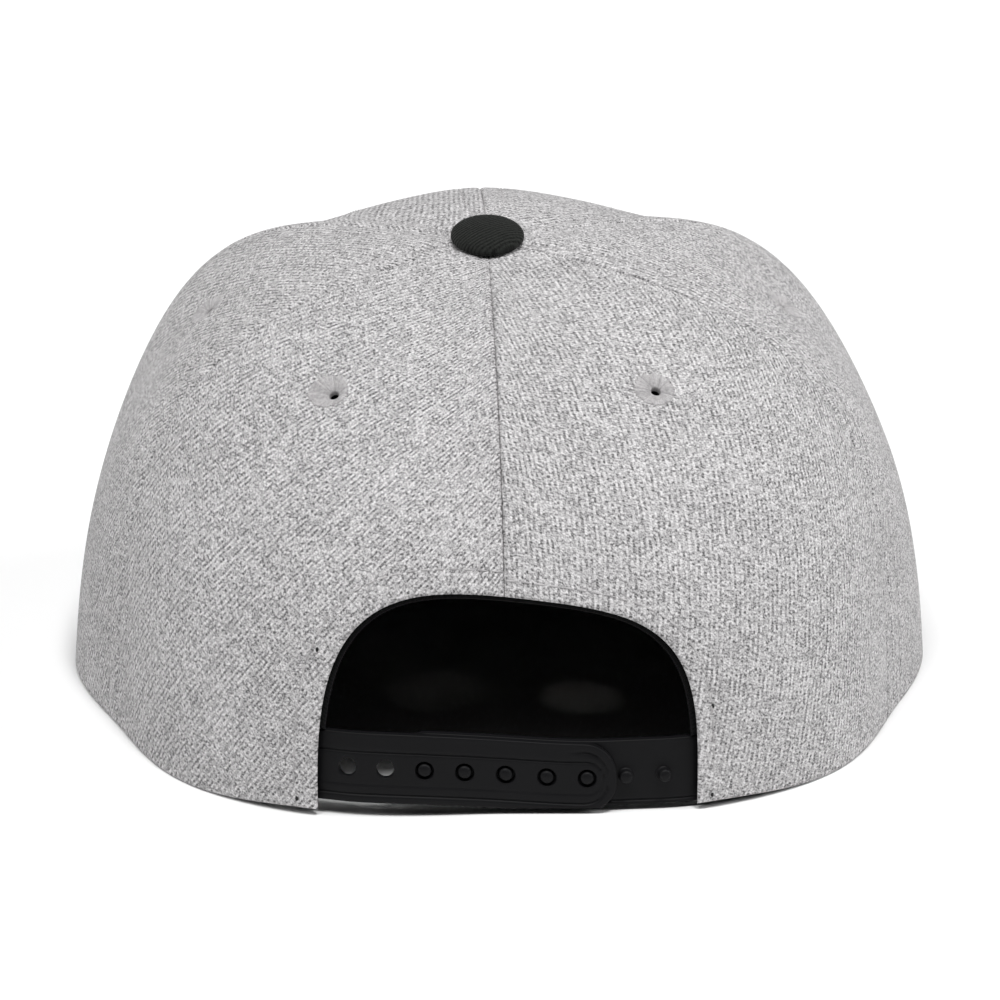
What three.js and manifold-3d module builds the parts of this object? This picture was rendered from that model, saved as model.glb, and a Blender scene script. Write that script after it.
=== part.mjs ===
// A six-panel snapback cap with a flat brim, resting on its hem and brim.
// Millimetres, +Z up. The brim points to -Y, the snap strap is at +Y, the wearer's left is +X.
// Azimuths are degrees round the crown, from 0 at the front seam to 180 at the back seam.
// The pieces are placed about the crown's axis, and at the end the cap is moved so that the origin is
// under its middle, on the surface that it rests on.

import * as THREE from 'three';
import { mergeVertices } from 'three/addons/utils/BufferGeometryUtils.js';
import Module from 'manifold-3d';

const wasm = await Module();
wasm.setup();

// Crown
const crownReach = 100;        // plan radius that the stations' reaches are shares of
const crownHeight = 105;       // hem to the cloth under the button
const frontLift = 8;           // how far the hem rises at the front seam
const liftAzimuth = 75;        // where that rise has died away
const backLift = 1.5;          // how far the hem clears the surface beside the opening
const backLiftStart = 136;     // azimuths between which that rise grows
const backLiftEnd = 154;
const buttonSetBack = 1;       // button behind the middle of the hem
const leftSpread = 0.97;       // the soft crown leans out more on its right
const rightSpread = 1.03;
const wall = 1.8;              // cloth thickness
const panelSwell = 1.1;        // how far a panel stands out between its seams
const clearance = 0.3;         // gap between neighbouring pieces
const lapGap = 0.6;            // gap behind the curved cloth, to the strap and tape
const topHoleRadius = 3.4;     // hole under the button
const frontSideSeam = 62;      // azimuths of the seams
const sideBackSeam = 113;

// Half-moon opening in the back
const leftHalfWidth = 42.4;
const rightHalfWidth = 43.4;
const openingHeight = 50;
const openingSlant = 0.09;     // share by which the arch is higher on the left and lower on the right
const leftRoundness = 3.1;     // 2 would be an ellipse
const rightRoundness = 4;
const tapeWidth = 7;
const tapeShows = 0.8;         // how far the tape looks out past the cloth edge
const tapeThickness = 0.8;
const tapeLift = 0.6;          // gap between the tape's ends and the strap below

// Eyelets
const eyeletRadius = 4.6;
const eyeletHoleRadius = 1.2;
const eyeletThickness = 2;
const eyeletShoulder = 0.7;    // the ring's outer shoulder over its middle plane
const eyeletLip = 0.35;        // the edge of its hole over its middle plane

// Button
const buttonRadius = 8.6;
const buttonDome = 3.6;
const buttonEdge = 0.8;        // height of the button's rolled edge
const buttonTilt = 12;         // degrees, towards the back
const shankRadius = 2.4;
const shankLength = 2.6;

// Brim
const brimLength = 70;
const brimHalfWidth = 94;
const brimThickness = 3.2;
const brimCornerAzimuth = 64;
const brimCornerWidth = 3;
const brimArch = 6;            // height of the front edge at its middle
const brimSidePull = 1.07;     // the two handles that bend the brim's edge, as shares of its half width
const brimFrontPull = 0.72;

// Snap strap
const strapHeight = 16.3;
const strapThickness = 1.5;
const strapFoot = 0.4;         // gap under the strap, at its lowest
const strapRise = 3;           // how much higher the strap is at its sewn end on the left
const riseStart = -20;         // runs between which it rises, from the back seam towards +X
const riseEnd = 30;
const strapTuck = 14;          // run of a strap behind the panel
const strapEndRadius = 7.6;
const strapEndRun = 6.8;       // last hole or peg to the strap's end
const holePitch = 9.1;
const holeRadius = 2.1;
const pegRadius = 1.5;
const pegTaper = 0.85;         // peg head's radius as a share of its foot's
const pegProud = 0.4;          // peg head beyond the strap with holes
const lapBlend = 0.25;         // where the inner strap starts to step back, as a share of its lone run
const holePlaces = [4, 3, 2, 1, 0, -1, -2];   // pitches from the back seam, towards +X
const pegPlaces = [2, 1, 0, -1, -2, -3, -4];

// Colours
const heather = { color: 0x9f9ea0, roughness: 0.95, metalness: 0 };
const blackCloth = { color: 0x1c1c1e, roughness: 0.95, metalness: 0 };
const blackPlastic = { color: 0x151517, roughness: 0.45, metalness: 0 };

// Stations round the crown. Each row is one upright section, from hem to button: its azimuth, the hem's
// reach, and the two handles that bend the section, as shares of the hem's reach and of the crown's height.
const stations = [
  { azimuth: 0, reach: 0.95, wallReach: 1.03, wallHeight: 0.66, crestReach: 0.60, crestHeight: 1.17 },
  { azimuth: 30, reach: 0.96, wallReach: 1.01, wallHeight: 0.63, crestReach: 0.70, crestHeight: 1.11 },
  { azimuth: 46, reach: 0.97, wallReach: 1.00, wallHeight: 0.68, crestReach: 0.83, crestHeight: 1.03 },
  { azimuth: 62, reach: 0.98, wallReach: 0.93, wallHeight: 0.84, crestReach: 0.90, crestHeight: 1.01 },
  { azimuth: 88, reach: 1.02, wallReach: 0.95, wallHeight: 0.53, crestReach: 0.82, crestHeight: 1.04 },
  { azimuth: 113, reach: 0.99, wallReach: 0.98, wallHeight: 0.59, crestReach: 0.92, crestHeight: 0.95 },
  { azimuth: 136, reach: 1.05, wallReach: 0.98, wallHeight: 0.55, crestReach: 0.78, crestHeight: 0.94 },
  { azimuth: 158, reach: 1.03, wallReach: 0.99, wallHeight: 0.58, crestReach: 0.69, crestHeight: 0.91 },
  { azimuth: 180, reach: 0.97, wallReach: 1.01, wallHeight: 0.60, crestReach: 0.65, crestHeight: 0.89 },
];

// The panels of one side, from front to back. left and right place the eyelet of that side as a share of
// the panel's width, and eyeletRise as a share of the way from hem to button.
const panels = [
  { name: 'front', from: 0, to: frontSideSeam, left: 0.50, right: 0.50, eyeletRise: 0.64 },
  { name: 'side', from: frontSideSeam, to: sideBackSeam, left: 0.53, right: 0.56, eyeletRise: 0.63 },
  { name: 'back', from: sideBackSeam, to: 180, left: 0.44, right: 0.51, eyeletRise: 0.65 },
];

const sides = [
  { name: 'left', sign: 1, spread: leftSpread, halfWidth: leftHalfWidth, roundness: leftRoundness },
  { name: 'right', sign: -1, spread: rightSpread, halfWidth: rightHalfWidth, roundness: rightRoundness },
];

// Mesh steps
const panelColumns = 10;
const panelRows = 13;
const archColumns = 9;
const tapeColumns = 11;
const brimColumns = 36;
const brimRows = 5;
const strapStep = 3.2;
const strapEndSteps = 5;
const roundSides = 16;
const buttonSides = 24;
const domeSteps = 6;

// Steps and limits of the searches
const slopeProbe = 0.01;       // degrees of azimuth, or share of the rise
const walkStep = 0.5;          // degrees of azimuth along the strap
const seatStep = 15;           // degrees of azimuth round the button's seat
const wallRise = 0.6;          // no height on the wall is asked for above this rise
const crownRise = 0.5;         // nor any place by the button below this one
const halvings = 40;
const cutPast = 2;             // how far a cutting rod runs past both faces

// Places worked out from the sizes above: depths are behind the crown's outer face, runs along the strap
const holeStrapDepth = wall + lapGap;
const pegStrapDepth = holeStrapDepth + strapThickness + clearance;
const holeStrapEnd = Math.min(...holePlaces) * holePitch - strapEndRun;
const pegStrapEnd = Math.max(...pegPlaces) * holePitch + strapEndRun;

const radians = THREE.MathUtils.degToRad;
const lerp = THREE.MathUtils.lerp;

// Where a rising function of one number passes a level
function solve(f, low, high, level) {
  let a = low;
  let b = high;
  for (let i = 0; i < halvings; i++) {
    const middle = (a + b) / 2;
    if (f(middle) < level) {
      a = middle;
    } else {
      b = middle;
    }
  }
  return (a + b) / 2;
}

// Slope of one column of the stations table, flat at both ends
function stationSlope(index, column) {
  if (index === 0 || index === stations.length - 1) return 0;
  const before = stations[index - 1];
  const after = stations[index + 1];
  return (after[column] - before[column]) / (after.azimuth - before.azimuth);
}

// One column of the stations table at any azimuth
function stationValue(azimuth, column) {
  let index = 0;
  while (index < stations.length - 2 && stations[index + 1].azimuth < azimuth) index++;
  const start = stations[index];
  const end = stations[index + 1];
  const span = end.azimuth - start.azimuth;
  const u = (azimuth - start.azimuth) / span;
  const startSlope = stationSlope(index, column) * span;
  const endSlope = stationSlope(index + 1, column) * span;
  return start[column] * (2 * u ** 3 - 3 * u ** 2 + 1) + startSlope * (u ** 3 - 2 * u ** 2 + u)
    + end[column] * (3 * u ** 2 - 2 * u ** 3) + endSlope * (u ** 3 - u ** 2);
}

// Height of the hem over the surface that the cap rests on
function hemHeight(azimuth) {
  if (azimuth < liftAzimuth) return frontLift * Math.cos(radians(90 * azimuth / liftAzimuth)) ** 2;
  return backLift * THREE.MathUtils.smoothstep(azimuth, backLiftStart, backLiftEnd);
}

// How far the panel stands out, 0 at its seams and at the hem and button, 1 at its middle
function swellShare(azimuth, rise, panel) {
  if (!panel) return 0;
  const across = (azimuth - panel.from) / (panel.to - panel.from);
  return 16 * across * (1 - across) * rise * (1 - rise);
}

// Point on the crown's outer face. rise runs from 0 at the hem to 1 under the button.
// Without a panel it is the smooth crown, with no swell between seams.
function crownPoint(side, panel, azimuth, rise) {
  const fall = 1 - rise;
  const hemPart = fall ** 3;
  const wallPart = 3 * rise * fall ** 2;
  const crestPart = 3 * rise ** 2 * fall;
  const bend = wallPart * stationValue(azimuth, 'wallReach')
    + crestPart * stationValue(azimuth, 'crestReach');
  const swell = panelSwell * swellShare(azimuth, rise, panel) / crownReach;
  const share = (hemPart + bend) * (1 + swell);
  const climb = wallPart * stationValue(azimuth, 'wallHeight')
    + crestPart * stationValue(azimuth, 'crestHeight') + rise ** 3;
  const reach = crownReach * stationValue(azimuth, 'reach');
  const x = reach * Math.sin(radians(azimuth)) * share;
  const y = buttonSetBack + (-reach * Math.cos(radians(azimuth)) - buttonSetBack) * share;
  const foot = hemHeight(azimuth);
  return new THREE.Vector3(side.sign * side.spread * x, y, foot + (crownHeight - foot) * climb);
}

// Direction round the crown, towards the back seam
function crownRound(side, panel, azimuth, rise) {
  const before = crownPoint(side, panel, azimuth - slopeProbe, rise);
  return crownPoint(side, panel, azimuth + slopeProbe, rise).sub(before).normalize();
}

// Outward normal of the crown's outer face
function crownNormal(side, panel, azimuth, rise) {
  const round = crownRound(side, panel, azimuth, rise);
  const low = Math.max(rise - slopeProbe, 0);
  const high = Math.min(rise + slopeProbe, 1);
  const up = crownPoint(side, panel, azimuth, high).sub(crownPoint(side, panel, azimuth, low));
  return round.cross(up).multiplyScalar(side.sign).normalize();
}

// Rise at which a section is at a height
function riseAtHeight(side, azimuth, height) {
  return solve((rise) => crownPoint(side, null, azimuth, rise).z, 0, wallRise, height);
}

// Rise at which a section reaches the hole under the button
function riseAtTopHole(side, azimuth) {
  const axis = new THREE.Vector2(0, buttonSetBack);
  const inward = (rise) => {
    const point = crownPoint(side, null, azimuth, rise);
    return -axis.distanceTo(new THREE.Vector2(point.x, point.y));
  };
  return solve(inward, crownRise, 1, -topHoleRadius);
}

// Azimuth and rise of the point on the back wall at a distance from the back seam and a height
function backWallPlace(side, x, height) {
  const azimuth = solve((value) => {
    const point = crownPoint(side, null, value, riseAtHeight(side, value, height));
    return -Math.abs(point.x);
  }, sideBackSeam, 180, -x);
  return { azimuth, rise: riseAtHeight(side, azimuth, height) };
}

// Outline of the half-moon opening, grown by a margin: angle 0 at its foot, 90 at its top
function openingOutline(side, angle, margin) {
  const power = 2 / side.roundness;
  const across = Math.cos(radians(angle)) ** power;
  const up = Math.sin(radians(angle)) ** power;
  const slant = 1 + side.sign * openingSlant * across;
  return { x: (side.halfWidth + margin) * across, height: (openingHeight + margin) * up * slant };
}

// Geometry from points and triangles
function surfaceGeometry(points, triangles) {
  const geometry = new THREE.BufferGeometry();
  const numbers = points.flatMap((point) => point.toArray());
  geometry.setAttribute('position', new THREE.Float32BufferAttribute(numbers, 3));
  geometry.setIndex(triangles);
  return geometry;
}

// A closed sheet between two grids of points. front[i][j] and back[i][j] face each other, and seen from
// the front, i runs to the right and j upwards.
function sheetGeometry(front, back) {
  const columns = front.length;
  const rows = front[0].length;
  const points = [...front.flat(), ...back.flat()];
  const near = (i, j) => i * rows + j;
  const far = (i, j) => columns * rows + i * rows + j;
  const triangles = [];
  const quad = (a, b, c, d) => {
    if (points[a].distanceTo(points[c]) <= points[b].distanceTo(points[d])) {
      triangles.push(a, b, c, a, c, d);
    } else {
      triangles.push(a, b, d, b, c, d);
    }
  };
  for (let i = 0; i < columns - 1; i++) {
    for (let j = 0; j < rows - 1; j++) {
      quad(near(i, j), near(i + 1, j), near(i + 1, j + 1), near(i, j + 1));
      quad(far(i, j), far(i, j + 1), far(i + 1, j + 1), far(i + 1, j));
    }
    quad(near(i, 0), far(i, 0), far(i + 1, 0), near(i + 1, 0));
    quad(near(i, rows - 1), near(i + 1, rows - 1), far(i + 1, rows - 1), far(i, rows - 1));
  }
  for (let j = 0; j < rows - 1; j++) {
    quad(near(0, j), near(0, j + 1), far(0, j + 1), far(0, j));
    quad(near(columns - 1, j), far(columns - 1, j), far(columns - 1, j + 1), near(columns - 1, j + 1));
  }
  return surfaceGeometry(points, triangles);
}

// Solids for cutting and joining
function toSolid(geometry) {
  const bare = geometry.clone();
  bare.deleteAttribute('normal');
  bare.deleteAttribute('uv');
  const merged = mergeVertices(bare, 0.001);
  const vertProperties = new Float32Array(merged.attributes.position.array);
  const triVerts = new Uint32Array(merged.index.array);
  return new wasm.Manifold(new wasm.Mesh({ numProp: 3, vertProperties, triVerts }));
}

function fromSolid(solid) {
  const mesh = solid.getMesh();
  const geometry = new THREE.BufferGeometry();
  geometry.setAttribute('position', new THREE.BufferAttribute(new Float32Array(mesh.vertProperties), 3));
  geometry.setIndex(new THREE.BufferAttribute(new Uint32Array(mesh.triVerts), 1));
  return geometry;
}

function namedMesh(name, geometry, finish) {
  const mesh = new THREE.Mesh(geometry, new THREE.MeshStandardMaterial(finish));
  mesh.name = name;
  return mesh;
}

// Place of a panel's eyelet, and the turn that brings +Y to the cloth's outward normal there
function eyeletPlacement(side, panel) {
  const azimuth = lerp(panel.from, panel.to, panel[side.name]);
  const normal = crownNormal(side, panel, azimuth, panel.eyeletRise);
  const turn = new THREE.Quaternion().setFromUnitVectors(new THREE.Vector3(0, 1, 0), normal);
  return { point: crownPoint(side, panel, azimuth, panel.eyeletRise), turn };
}

// Columns of a panel: azimuth and the rise of its lower edge. The back panels start at the opening's edge.
function panelSections(side, panel) {
  const sections = [];
  let start = panel.to;
  if (panel.name === 'back') {
    for (let i = 0; i < archColumns; i++) {
      const outline = openingOutline(side, lerp(90, 0, i / archColumns), 0);
      const place = backWallPlace(side, outline.x, outline.height);
      sections.push({ azimuth: place.azimuth, foot: place.rise });
    }
    start = backWallPlace(side, side.halfWidth, backLift).azimuth;
  }
  for (let i = 0; i <= panelColumns; i++) {
    sections.push({ azimuth: lerp(start, panel.from, i / panelColumns), foot: 0 });
  }
  return sections;
}

// One crown panel: a curved wall with a hole for its eyelet
function panelGeometry(side, panel) {
  const sections = panelSections(side, panel);
  const last = sections.length - 1;
  const outer = [];
  const inner = [];
  sections.forEach((section, i) => {
    const top = riseAtTopHole(side, section.azimuth);
    const outerColumn = [];
    const innerColumn = [];
    for (let j = 0; j <= panelRows; j++) {
      const rise = lerp(section.foot, top, j / panelRows);
      const normal = crownNormal(side, panel, section.azimuth, rise);
      const point = crownPoint(side, panel, section.azimuth, rise);
      let inset = 0;
      if (i === 0) inset = -clearance / 2;
      if (i === last) inset = clearance / 2;
      point.addScaledVector(crownRound(side, null, section.azimuth, rise), inset);
      const behind = point.clone().addScaledVector(normal, -wall);
      if (j === 0) behind.z = point.z;
      outerColumn.push(point);
      innerColumn.push(behind);
    }
    outer.push(outerColumn);
    inner.push(innerColumn);
  });
  if (side.sign > 0) {
    outer.reverse();
    inner.reverse();
  }
  const cloth = toSolid(sheetGeometry(outer, inner));
  return fromSolid(cloth.subtract(eyeletHole(side, panel)));
}

function eyeletHole(side, panel) {
  const place = eyeletPlacement(side, panel);
  const radius = eyeletRadius + clearance;
  const drill = new THREE.CylinderGeometry(radius, radius, 2 * (wall + cutPast), roundSides);
  drill.applyQuaternion(place.turn);
  drill.translate(place.point.x, place.point.y, place.point.z);
  return toSolid(drill);
}

// Embroidered ring with a rounded rim and a small hole, its outer face level with the cloth
function eyeletMesh(side, panel) {
  const middle = (eyeletRadius + eyeletHoleRadius) / 2;
  const profile = [
    new THREE.Vector2(eyeletHoleRadius, -eyeletThickness / 2),
    new THREE.Vector2(eyeletRadius, -eyeletThickness / 2),
    new THREE.Vector2(eyeletRadius, eyeletShoulder),
    new THREE.Vector2(middle, eyeletThickness / 2),
    new THREE.Vector2(eyeletHoleRadius, eyeletLip),
    new THREE.Vector2(eyeletHoleRadius, -eyeletThickness / 2),
  ];
  const ring = new THREE.LatheGeometry(profile, roundSides);
  const mesh = namedMesh('eyelet_' + panel.name + '_' + side.name, ring, heather);
  const place = eyeletPlacement(side, panel);
  const normal = new THREE.Vector3(0, 1, 0).applyQuaternion(place.turn);
  mesh.position.copy(place.point).addScaledVector(normal, -wall / 2);
  mesh.quaternion.copy(place.turn);
  return mesh;
}

// Cloth-covered button on a short shank. Its seat clears the highest cloth under its edge.
function buttonMesh() {
  const profile = [
    new THREE.Vector2(0, -shankLength),
    new THREE.Vector2(shankRadius, -shankLength),
    new THREE.Vector2(shankRadius, 0),
    new THREE.Vector2(buttonRadius - buttonEdge / 2, 0),
  ];
  for (let i = 0; i <= domeSteps; i++) {
    const angle = radians(90 * i / domeSteps);
    const height = buttonEdge + (buttonDome - buttonEdge) * Math.sin(angle);
    const radius = i === domeSteps ? 0 : buttonRadius * Math.cos(angle);
    profile.push(new THREE.Vector2(radius, height));
  }
  const mesh = namedMesh('button', new THREE.LatheGeometry(profile, buttonSides), blackCloth);
  const axis = new THREE.Vector3(0, Math.sin(radians(buttonTilt)), Math.cos(radians(buttonTilt)));
  const apex = new THREE.Vector3(0, buttonSetBack, crownHeight);
  mesh.quaternion.setFromUnitVectors(new THREE.Vector3(0, 1, 0), axis);
  mesh.position.copy(apex).addScaledVector(axis, clearance + buttonSeat(apex, axis));
  return mesh;
}

// How far the cloth under the button stands above its tilted seat plane
function buttonSeat(apex, axis) {
  let highest = 0;
  for (const side of sides) {
    for (let azimuth = 0; azimuth <= 180; azimuth += seatStep) {
      const inward = (rise) => -crownPoint(side, null, azimuth, rise).distanceTo(apex);
      const rise = solve(inward, crownRise, 1, -buttonRadius);
      highest = Math.max(highest, crownPoint(side, null, azimuth, rise).sub(apex).dot(axis));
    }
  }
  return highest;
}

// Front edge of the brim, from its left corner (-1) to its right corner (1), seen from above
function brimEdge(across, corner) {
  const front = -crownReach * stations[0].reach - brimLength;
  const u = 1 - Math.abs(across);
  const cornerPart = (1 - u) ** 3;
  const sidePart = 3 * u * (1 - u) ** 2;
  const frontPart = 3 * u ** 2 * (1 - u);
  const tipPart = u ** 3;
  const pull = brimHalfWidth * (sidePart * brimSidePull + frontPart * brimFrontPull);
  const x = cornerPart * Math.abs(corner.x) + pull;
  const y = cornerPart * corner.y + sidePart * (corner.y + front) / 2 + (frontPart + tipPart) * front;
  const height = brimArch * (1 - across ** 2) ** 2;
  return new THREE.Vector3(Math.sign(corner.x) * x, y, height);
}

// Foot of the brim against the crown
function brimRoot(side, azimuth) {
  const foot = crownPoint(side, null, azimuth, 0);
  const normal = crownNormal(side, null, azimuth, 0).setZ(0).normalize();
  const lean = wallLean(side, azimuth);
  return foot.addScaledVector(normal, clearance + lean);
}

// How far the crown wall leans out over the brim's thickness
function wallLean(side, azimuth) {
  const foot = crownPoint(side, panels[0], azimuth, 0);
  const height = foot.z + brimThickness;
  const rise = riseAtHeight(side, azimuth, height);
  const above = crownPoint(side, panels[0], azimuth, rise);
  const normal = crownNormal(side, null, azimuth, 0).setZ(0).normalize();
  return Math.max(0, above.sub(foot).dot(normal));
}

// Flat brim, slightly arched, its sides on the surface that the cap rests on
function brimMesh() {
  const lower = [];
  const upper = [];
  for (let i = 0; i <= brimColumns; i++) {
    const across = lerp(-1, 1, i / brimColumns);
    const side = across > 0 ? sides[0] : sides[1];
    const root = brimRoot(side, Math.abs(across) * brimCornerAzimuth);
    const corner = brimRoot(side, brimCornerAzimuth);
    corner.x += side.sign * brimCornerWidth;
    const edge = brimEdge(across, corner);
    const lowerColumn = [];
    const upperColumn = [];
    for (let j = 0; j <= brimRows; j++) {
      const point = root.clone().lerp(edge, j / brimRows);
      lowerColumn.push(point);
      upperColumn.push(point.clone().add(new THREE.Vector3(0, 0, brimThickness)));
    }
    lower.push(lowerColumn);
    upper.push(upperColumn);
  }
  return namedMesh('brim', sheetGeometry(lower, upper), blackCloth);
}

// Height of the middle of the strap
function strapMiddle(run) {
  return strapFoot + strapHeight / 2 + strapRise * THREE.MathUtils.smoothstep(run, riseStart, riseEnd);
}

// Azimuth on the back wall at a run along the strap's line, measured from the back seam
function strapAzimuth(side, run) {
  const height = strapMiddle(0);
  let azimuth = 180;
  let before = crownPoint(side, null, azimuth, riseAtHeight(side, azimuth, height));
  let length = 0;
  while (azimuth > 90) {
    const rise = riseAtHeight(side, azimuth - walkStep, height);
    const next = crownPoint(side, null, azimuth - walkStep, rise);
    const stride = next.distanceTo(before);
    if (length + stride >= run) return azimuth - walkStep * (run - length) / stride;
    length += stride;
    azimuth -= walkStep;
    before = next;
  }
  return azimuth;
}

// Point of the strap: run along it towards +X, height, and depth behind the crown's outer face
function strapPoint(run, height, depth) {
  const side = run >= 0 ? sides[0] : sides[1];
  const azimuth = strapAzimuth(side, Math.abs(run));
  const rise = riseAtHeight(side, azimuth, height);
  const normal = crownNormal(side, null, azimuth, rise).setZ(0).normalize();
  if (run === 0) normal.set(0, 1, 0);
  return crownPoint(side, null, azimuth, rise).addScaledVector(normal, -depth);
}

// Runs along a strap from its sewn end to its rounded end, closer together at the rounding
function strapRuns(sewnEnd, freeEnd) {
  const runs = [];
  const towards = Math.sign(freeEnd - sewnEnd);
  const roundStart = freeEnd - towards * strapEndRadius;
  const steps = Math.round(Math.abs(roundStart - sewnEnd) / strapStep);
  for (let i = 0; i <= steps; i++) runs.push(lerp(sewnEnd, roundStart, i / steps));
  for (let i = 1; i <= strapEndSteps; i++) {
    const ahead = strapEndRadius * Math.sin(radians(90 * i / strapEndSteps));
    runs.push(roundStart + towards * ahead);
  }
  return runs;
}

// One strap: a bent strip with a rounded end. depthAt gives the depth of its face along the run.
function strapGeometry(sewnEnd, freeEnd, depthAt) {
  const front = [];
  const back = [];
  for (const run of strapRuns(sewnEnd, freeEnd)) {
    const left = Math.min(Math.abs(run - freeEnd), strapEndRadius);
    const inset = strapEndRadius - Math.sqrt(strapEndRadius ** 2 - (strapEndRadius - left) ** 2);
    const half = strapHeight / 2 - inset;
    const heights = [-half, 0, half].map((offset) => strapMiddle(run) + offset);
    front.push(heights.map((height) => strapPoint(run, height, depthAt(run))));
    back.push(heights.map((height) => strapPoint(run, height, depthAt(run) + strapThickness)));
  }
  if (freeEnd > sewnEnd) {
    front.reverse();
    back.reverse();
  }
  return sheetGeometry(front, back);
}

// A rod square to the strap's face, from one depth to another
function strapRod(run, radius, fromDepth, toDepth, taper) {
  const height = strapMiddle(run);
  const outside = strapPoint(run, height, fromDepth);
  const inside = strapPoint(run, height, toDepth);
  const axis = outside.clone().sub(inside);
  const rod = new THREE.CylinderGeometry(radius * taper, radius, axis.length(), roundSides);
  const turn = new THREE.Quaternion().setFromUnitVectors(new THREE.Vector3(0, 1, 0), axis.normalize());
  rod.applyQuaternion(turn);
  const middle = outside.add(inside).divideScalar(2);
  rod.translate(middle.x, middle.y, middle.z);
  return toSolid(rod);
}

// Depth of the strap with pegs: against the panel at its sewn end, behind the other strap past its tip
function pegStrapDepthAt(run) {
  const start = lerp(-rightHalfWidth - strapTuck, holeStrapEnd, lapBlend);
  const share = THREE.MathUtils.smoothstep(run, start, holeStrapEnd - strapThickness);
  return lerp(holeStrapDepth, pegStrapDepth, share);
}

// Outer half of the snap strap
function holeStrapMesh() {
  let strap = toSolid(strapGeometry(leftHalfWidth + strapTuck, holeStrapEnd, () => holeStrapDepth));
  for (const place of holePlaces) {
    const outside = holeStrapDepth - cutPast;
    const inside = holeStrapDepth + strapThickness + cutPast;
    strap = strap.subtract(strapRod(place * holePitch, holeRadius, outside, inside, 1));
  }
  return namedMesh('strap_with_holes', fromSolid(strap), blackPlastic);
}

// Inner half of the snap strap
function pegStrapMesh() {
  let strap = toSolid(strapGeometry(-rightHalfWidth - strapTuck, pegStrapEnd, pegStrapDepthAt));
  for (const place of pegPlaces) {
    const run = place * holePitch;
    const seat = pegStrapDepthAt(run);
    const head = seat - clearance - strapThickness - pegProud;
    strap = strap.add(strapRod(run, pegRadius, head, seat + strapThickness / 2, pegTaper));
  }
  return namedMesh('strap_with_pegs', fromSolid(strap), blackPlastic);
}

// Angle on the opening's outline where the facing tape starts, above the strap
function tapeFootAngle(side) {
  const footRun = side.sign * (side.halfWidth + tapeWidth);
  const foot = strapMiddle(footRun) + strapHeight / 2 + tapeLift;
  return solve((angle) => openingOutline(side, angle, -tapeShows).height, 0, 90, foot);
}

// Facing tape behind the opening's edge, from above the strap on one side to the other
function tapeMesh() {
  const margins = [-tapeShows, (tapeWidth - tapeShows) / 2, tapeWidth - tapeShows];
  const front = [];
  const back = [];
  const addColumn = (side, share) => {
    const angle = lerp(tapeFootAngle(side), 90, share);
    front.push(margins.map((margin) => tapePoint(side, angle, margin, wall + lapGap)));
    back.push(margins.map((margin) => tapePoint(side, angle, margin, wall + lapGap + tapeThickness)));
  };
  for (let i = 0; i < tapeColumns; i++) addColumn(sides[0], i / tapeColumns);
  for (let i = tapeColumns; i >= 0; i--) addColumn(sides[1], i / tapeColumns);
  return namedMesh('opening_tape', sheetGeometry(front, back), blackCloth);
}

function tapePoint(side, angle, margin, depth) {
  const outline = openingOutline(side, angle, margin);
  const place = backWallPlace(side, outline.x, outline.height);
  const normal = crownNormal(side, panels[2], place.azimuth, place.rise);
  if (angle === 90) normal.x = 0;
  return crownPoint(side, panels[2], place.azimuth, place.rise).addScaledVector(normal.normalize(), -depth);
}

const cap = new THREE.Group();
for (const side of sides) {
  for (const panel of panels) {
    cap.add(namedMesh('crown_panel_' + panel.name + '_' + side.name, panelGeometry(side, panel), heather));
    cap.add(eyeletMesh(side, panel));
  }
}
cap.add(buttonMesh());
cap.add(brimMesh());
cap.add(holeStrapMesh());
cap.add(pegStrapMesh());
cap.add(tapeMesh());

const middle = new THREE.Box3().setFromObject(cap, true).getCenter(new THREE.Vector3());
cap.position.set(-middle.x, -middle.y, 0);

export default cap;
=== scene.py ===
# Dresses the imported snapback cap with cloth, thread and moulded plastic, and sets the light and camera.
# Shapes are worked out in millimetres about the crown's own axis, and moved into the frame in metres.
# Azimuths are degrees round the crown, from 0 at the front seam to 180 at the back seam.

import math
import random

import bpy
import bmesh
import numpy as np
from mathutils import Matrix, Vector


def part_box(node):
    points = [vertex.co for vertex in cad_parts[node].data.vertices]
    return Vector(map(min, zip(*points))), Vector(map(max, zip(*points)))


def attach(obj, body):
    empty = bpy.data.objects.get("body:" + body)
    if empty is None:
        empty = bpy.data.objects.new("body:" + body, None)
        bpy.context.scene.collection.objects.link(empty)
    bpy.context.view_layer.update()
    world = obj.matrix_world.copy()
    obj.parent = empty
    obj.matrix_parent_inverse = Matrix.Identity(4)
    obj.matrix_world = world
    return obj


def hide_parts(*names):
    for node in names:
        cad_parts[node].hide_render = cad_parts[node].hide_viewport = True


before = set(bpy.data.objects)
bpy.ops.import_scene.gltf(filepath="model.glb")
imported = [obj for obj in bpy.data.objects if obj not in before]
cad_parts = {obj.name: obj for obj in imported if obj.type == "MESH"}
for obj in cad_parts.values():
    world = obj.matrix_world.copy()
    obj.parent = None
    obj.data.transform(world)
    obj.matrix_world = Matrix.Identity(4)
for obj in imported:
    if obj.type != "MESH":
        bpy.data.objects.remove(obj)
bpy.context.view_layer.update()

# Crown, in millimetres, as in the solids
CROWN_REACH = 100.0
CROWN_HEIGHT = 105.0
FRONT_LIFT = 8.0
LIFT_AZIMUTH = 75.0
BACK_LIFT = 1.5
BACK_LIFT_START = 136.0
BACK_LIFT_END = 154.0
BUTTON_SET_BACK = 1.0
WALL = 1.8
PANEL_SWELL = 1.1
LAP_GAP = 0.6
CLEARANCE = 0.3
TOP_HOLE_RADIUS = 3.4
FRONT_SIDE_SEAM = 62.0
SIDE_BACK_SEAM = 113.0
WALL_RISE = 0.6
CROWN_RISE = 0.5
HALVINGS = 24

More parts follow.
